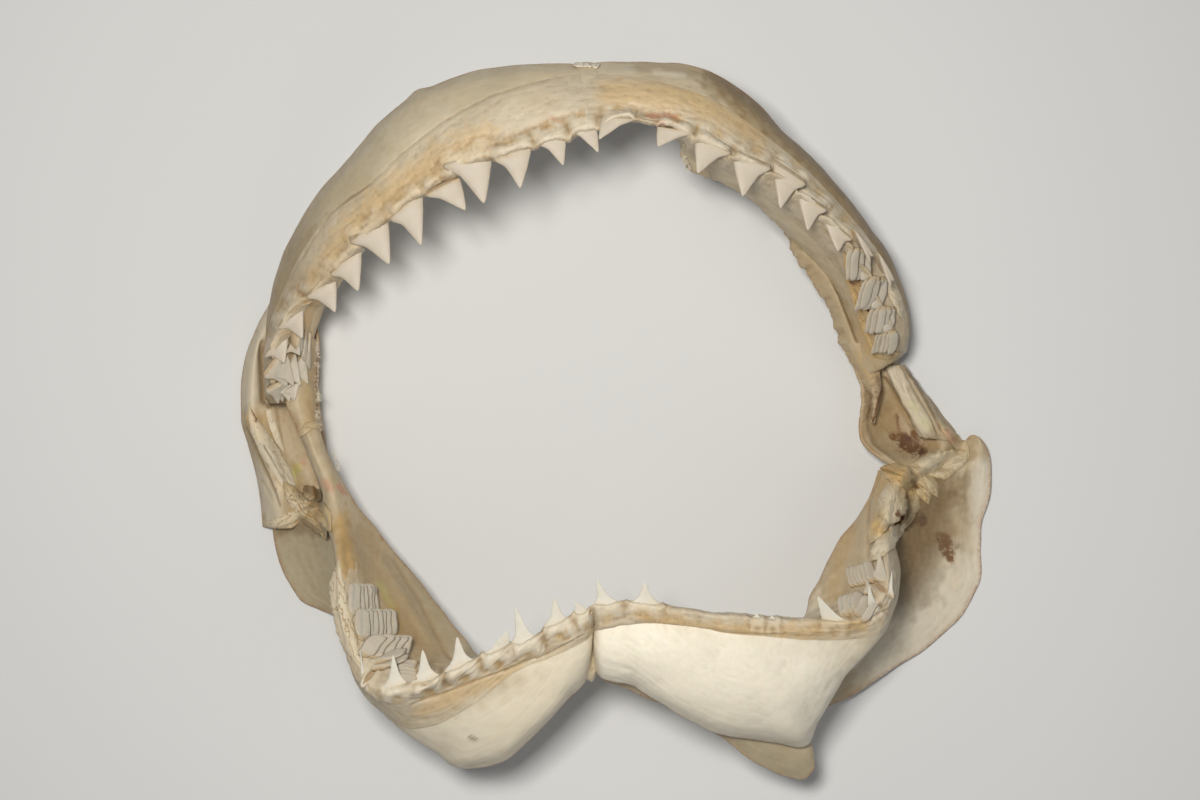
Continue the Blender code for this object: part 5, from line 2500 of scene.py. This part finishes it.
def lower_left() -> HalfJaw:
    """The lower left half: its wall and the wing behind its joint.

    Returns:
        The half jaw.
    """
    wall = Shell(
        LOWER_LEFT_WALL, (12, 20, 30, 16, 22, 18), WHOLE, seed=31,
        strokes=strokes("""
            2.4 -0.8: 395 560, 420 600, 445 650, 460 668; 5 0.9: 380 560, 405 600, 428 640
            4 -0.8: 346 545, 352 590
        """),
        stains=stains("""
            honey 8 0.95: 342 520, 348 560, 352 592; honey 9 0.9: 392 612, 400 650
            tan 30 0.75: 360 540, 395 600, 430 650; brown 3 0.35: 358 530, 356 560
            red 5 0.35: 326 483, 330 488; red 2.5 0.6: 338 486, 343 493; lime 4 0.5: 380 585, 392 606
            grey 14 0.6: 400 560, 440 620, 465 655; shade 1.6 0.9 0: 470 737, 476 740
            pale 44 0.55: 430 740, 500 735, 560 690, 575 655; tan 8 0.5: 400 712, 460 702, 520 680
        """),
    )
    wing = Shell(
        LOWER_LEFT_WING, (12, 12, 12), (2.0, 3.0, 3.2, 2.0), seed=32, rim=0.8, age=0.2,
        stains=stains("grey 60 0.9: 290 550, 320 595; shade 8 0.6: 280 526, 330 530"),
    )
    gum = GumBand(
        LL_GUM, over=wall, seats=tuple(map(Seat.of, LL_TEETH)), seed=34, rim=0.3, rim_width=0.8,
        sculpt=0.9, root_tint=0.5, tapers=(True, False),
        strokes=strokes("1.5 -0.8: 412 705, 473 682, 511 669, 550 654, 584 636"),
        stains=stains("honey 8 0.5: 420 712, 520 668"),
    )
    return HalfJaw("lower_left", (wall, wing), gum, LL_TEETH, LL_FILES, 55)


def lower_right() -> HalfJaw:
    """The lower right half: its plate, the wing behind its joint, the flange and a tuck beneath.

    Returns:
        The half jaw.
    """
    plate = Shell(
        LOWER_RIGHT_PLATE, (12, 24, 34, 12, 14, 14), WHOLE, seed=41,
        strokes=strokes(
            "2.2 -1: 878 474, 868 500, 866 530, 868 555; 2 -0.9: 905 470, 900 500, 893 520"
        ),
        stains=stains("""
            pale 80 1 0.2: 612 650, 700 665, 790 690; tan 10 0.5: 866 640, 846 590, 856 560
            honey 14 0.7: 880 480, 890 500, 880 530; brown 4 0.7: 897 515
            honey 8 0.5: 850 530, 840 560, 830 600
        """),
    )
    # Near the joint the tan and the shade are painted shadow; the pale patches low down and along the outer
    # edge are painted light.
    wing = Shell(
        LOWER_RIGHT_WING, (16, 18, 22, 22), (1.8, 2.6, 3.2, 3.4, 2.6), seed=42, rim=1.0, age=0.45,
        stains=stains("""
            tan 40 0.95: 930 490, 920 530, 925 570; shade 30 0.75 0.3: 928 486, 922 530, 900 585
            pale 34 0.7 0.2: 960 580, 940 610, 890 660; pale 24 0.4: 935 620, 900 655
            pale 12 0.7 0.2: 984 470, 982 540, 975 600; plum 7 1 0.35: 906 526, 914 515, 922 521
            brown 7.5 1 0.35: 944 538, 950 556; honey 7 0.9: 952 562, 956 582
            honey 14 0.5: 900 480, 905 510
        """),
    )
    flange = Shell(
        LOWER_RIGHT_FLANGE, (12, 12, 12), (2.6, 3.6, 3.4, 2.0), seed=43, rim=0.8,
        stains=stains("grey 24 0.8: 740 748, 800 765"),
    )
    tuck = Shell(
        LOWER_RIGHT_TUCK, (8, 8, 8), (1.6, 2.0, 2.0, 1.6), seed=44,
        stains=stains("grey 16 0.9: 610 688, 650 696"),
    )
    buds = tuple(replace(Seat.of(bud), strength=BUD_STRENGTH) for bud in LR_BUDS)
    gum = GumBand(
        LR_GUM, over=plate, seats=tuple(map(Seat.of, LR_TEETH)) + buds, seed=45, rim=0.3, rim_width=0.8,
        tapers=(False, True), recess=3.0,
        stains=stains("honey 8 0.7: 640 615, 700 628, 800 632, 860 625"),
    )
    return HalfJaw("lower_right", (plate, wing, flange, tuck), gum, LR_TEETH, LR_FILES, 57)


TISSUES = (
    (Tissue("right_hinge_tissue", folds("""
        2.2 0.7: 906 466 4, 920 476 9, 930 485 9, 938 497 4
        1.6 0.7: 914 484 4, 924 494 6, 929 504 3
        3.2 0.25: 914 463 6, 931 463 11, 947 462 12.5, 960 457 11, 969 448 5
        3 0.3: 926 471 5, 942 473 7, 957 469 6
        1.4 0.4: 969 459 4, 963 447 6, 953 438 5, 945 429 4, 938 420 2
        2.8 0.4: 880 468 5, 890 471 9, 901 476 11, 911 485 9, 915 496 5
        3.8 0.4: 898 478 7, 908 488 9, 911 501 9, 908 515 8, 901 530 5
        3 0.35: 893 480 9, 893 497 14, 890 511 14, 886 526 8
        2.6 0.35: 890 516 6, 881 524 9, 874 533 8, 870 544 3
        1.9 0.3: 907 522 4, 896 533 8, 884 545 9, 875 555 7, 868 563 2
    """), 61, stains("""
        honey 9 0.8: 884 468, 902 478, 911 490; pale 11 0.4: 886 496, 894 512
        pale 8 0.55: 876 551, 900 532; pale 9 0.3: 930 464, 958 460; shade 4 0.6: 908 500, 908 522
        brown 3 0.9: 897 514, 902 518; brown 4 0.8: 913 482, 916 488; honey 6 0.7: 872 522, 880 531
        red 4 0.4: 947 432, 953 440
    """)), "right_joint_tissue"),
    # Its first fold is a low flap painted with shade, standing in for the shadowed cavity behind the joint.
    (Tissue("left_hinge_tissue", folds("""
        0.3 0.5: 304 486 4, 312 493 7, 321 499 5
        2.2 0.6: 283 480 4, 291 493 8, 299 504 9, 306 517 5
        2.2 0.5: 294 503 5, 307 505 7, 319 510 8, 326 520 7, 330 532 4
        1.8 0.6: 296 513 5, 309 519 7, 320 528 7, 326 540 3
        1.4 0.6: 265 524 3, 273 524 5, 283 521 6, 293 517 6, 301 512 4
    """), 62, stains("""
        shade 8 1: 306 488, 314 493, 322 497; honey 8 0.5: 308 508, 320 516
        pale 12 0.35: 266 524, 288 510, 300 505; shade 4 0.6: 303 522, 318 533
    """)), "left_joint_tissue"),
    (Tissue("left_hinge_ridge", folds("""
        0.9 0.3 0.1: 249 402 2, 252 417 5, 261 436 8, 273 457 9, 285 477 9, 297 500 6
        1.3 0.2 0.1: 255 420 2, 266 446 3, 278 466 3, 290 488 3
        0.6 0.3 0.1: 266 400 2, 271 418 4, 278 438 4, 284 452 2
        0.6 0.4: 302 429 1.5, 308 425 3, 316 426 3, 321 430 1.5
    """), 63, stains("""
        pale 30 0.5: 255 430, 275 460, 298 500; honey 5 0.8: 251 408, 260 436
        brown 2 0.7: 252 409, 257 422; shade 1.4 0.6: 264 446, 278 470, 290 490
    """)),),
    (Tissue("left_inner_gum", folds("""
        0.8 0.7: 339 560 4, 337 583 8, 342 612 9, 349 641 9, 361 668 6
    """), 66, stains("pale 14 0.45 0.9: 337 575, 342 630, 356 668")),),
    (Tissue("right_inner_gum", folds("""
        1 0.6: 844 252 3, 849 270 6, 855 290 6, 863 312 6, 870 335 6, 876 357 4
        0.8 0.5: 872 354 2, 884 356 4, 900 354 2
        1 0.4: 882 268 3, 890 284 5, 897 300 5, 902 318 3
    """), 67, stains("""
        honey 9 0.8: 846 256, 858 300, 872 352; brown 4 0.7: 852 281, 858 284
        pale 9 0.4: 884 275, 900 318
    """)),),
    (Tissue("upper_midline_crust", folds("""
        1.3 0.8: 573 65 1.5, 578 64 2.4, 584 66 2
        1.2 0.8: 583 67 1.5, 587 65 2, 592 67 1.6
        1.2 0.8: 591 65 1.5, 596 66 2.2, 600 64 1.2
    """), 65, stains("pale 12 0.95: 570 65, 602 66")),),
)
UPPER_MIDLINE = rows("""
    90.6: 337 87.6,326 99.8,303 108.6,288 108.6,283 102,285 88
    92.4: 338.4 88,326.6 100.5,303 109.2,286 109.2,282 102,285 88
    94.2: 337 87.6,326 99.8,303 108.6,281 109.4,271 103,280 86
""")
LOWER_MIDLINE = rows("""
    267.3: 280 84,273 90,257 95,234 97,229 94,231 86
    268.4: 282 83,274 88,257 92,234 95.5,229 93,231 86
    269.4: 273 84,267 90,252 95,231 97,226 94,228 86
""")
MIDLINES = {
    name: Shell(drawn, STRIP_SPANS, STRIP, step=0.2, waves=0.1, grain=0.3, seed=seed, rim=0.0)
    for name, drawn, seed in (("upper", UPPER_MIDLINE, 63), ("lower", LOWER_MIDLINE, 64))
}
FRAYS = (
    Fray(((315, 342), (317, 356)), (33, 34), (1.0, 0.2), 60, 2.4, 0.12),
    Fray(((316, 362), (316, 384)), (34, 36), (1.0, 0.2), 40, 1.8),
    Fray(((318, 388), (317, 402)), (36, 38), (1.0, 0.2), 60, 2.4),
    Fray(((316, 408), (319, 430)), (38, 40), (1.0, 0.2), 90, 2.6),
    Fray(((684, 155), (690, 170)), (90, 84), (-0.3, 0.6), 60, 2.6),
    Fray(((711, 177), (749, 196), (780, 227), (808, 274), (831, 310)), (72, 30), (-0.7, 0.6), 90, 0.8),
    Fray(((838, 338), (865, 391), (862, 434), (882, 457), (906, 473)), (24, 14), (-0.9, 0.3), 90, 0.8),
    Fray(((333, 452), (337, 470)), (40, 40), (1.0, 0.1), 50, 2.4),
)

CARTILAGE = TissueFinish(
    "dried_cartilage", light=(0.64, 0.56, 0.41, 1), warm=(0.53, 0.41, 0.235, 1),
    speck=(0.24, 0.15, 0.07, 1), warmth=0.6, specks=0.5, rim=0.75, grime=0.35, rough=(0.42, 0.62),
    pores=0.35, wrinkles=0.5, lumps=0.5, bump=0.28, scatter=0.12,
)
GUM = TissueFinish(
    "dried_gum", light=(0.62, 0.54, 0.405, 1), warm=(0.53, 0.41, 0.25, 1),
    speck=(0.24, 0.14, 0.06, 1), warmth=0.7, specks=0.6, rim=0.4, grime=0.6, rough=(0.36, 0.56),
    pores=0.4, wrinkles=0.9, lumps=0.8, bump=0.40, scatter=0.18,
)
LIGAMENT = TissueFinish(
    "dried_ligament", light=(0.60, 0.50, 0.32, 1), warm=(0.44, 0.31, 0.15, 1),
    speck=(0.20, 0.11, 0.05, 1), warmth=0.9, specks=0.8, rim=0.4, grime=0.8, rough=(0.38, 0.60),
    pores=0.5, wrinkles=0.8, lumps=1.0, bump=0.5, scatter=0.15,
)
FIBRE = TissueFinish(
    "frayed_fibre", light=(0.82, 0.76, 0.62, 1), warm=(0.70, 0.60, 0.42, 1),
    speck=(0.4, 0.3, 0.2, 1), warmth=0.6, specks=0.2, rim=0.0, grime=0.0, rough=(0.6, 0.8),
    pores=0.0, wrinkles=0.0, lumps=0.0, bump=0.0, scatter=0.2,
)
UPPER_ENAMEL = EnamelFinish(
    "upper_enamel", enamel=(0.53, 0.465, 0.375, 1), film=(0.52, 0.42, 0.28, 1),
    root=(0.42, 0.30, 0.16, 1), film_top=0.08,
)
SPARE_ENAMEL = EnamelFinish(
    "spare_enamel", enamel=(0.54, 0.485, 0.395, 1), film=(0.50, 0.41, 0.28, 1),
    root=(0.46, 0.35, 0.21, 1), film_top=0.0,
)
LOWER_ENAMEL = EnamelFinish(
    "lower_enamel", enamel=(0.70, 0.67, 0.58, 1), film=(0.66, 0.56, 0.40, 1),
    root=(0.50, 0.37, 0.21, 1), film_top=0.12,
)
FRAY_SEED = 71


def main() -> None:
    """Builds the jaws piece by piece."""
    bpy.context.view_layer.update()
    shared = SharedEffects()
    cartilage, gum, ligament, fibre = (
        finish.make(shared) for finish in (CARTILAGE, GUM, LIGAMENT, FIBRE)
    )
    upper, spare, lower = (finish.make() for finish in (UPPER_ENAMEL, SPARE_ENAMEL, LOWER_ENAMEL))
    dentition, ground = Dentition(), Ground()
    halves = (upper_left(), upper_right(), lower_left(), lower_right())
    for half in halves:
        half.lay(cartilage, gum, ground)
    for name, strip in MIDLINES.items():
        build = Build()
        strip.close(build)
        ground.add(strip.laid[0])
        keep(build.done(f"{name}_midline_ligament", cartilage), "ligament", f"{name}_symphysis")
    ground.settle()
    for half in halves:
        half.plant((upper if half.name.startswith("upper") else lower, spare), dentition, ground)
    for tissue, *nodes in TISSUES:
        keep(tissue.make(ligament, ground), "ligament", *nodes)
    keep(FrayMaker(fibre).make("frayed_edges", FRAYS, FRAY_SEED), "ligament")
    Studio().make()


if __name__ == "__main__":
    main()
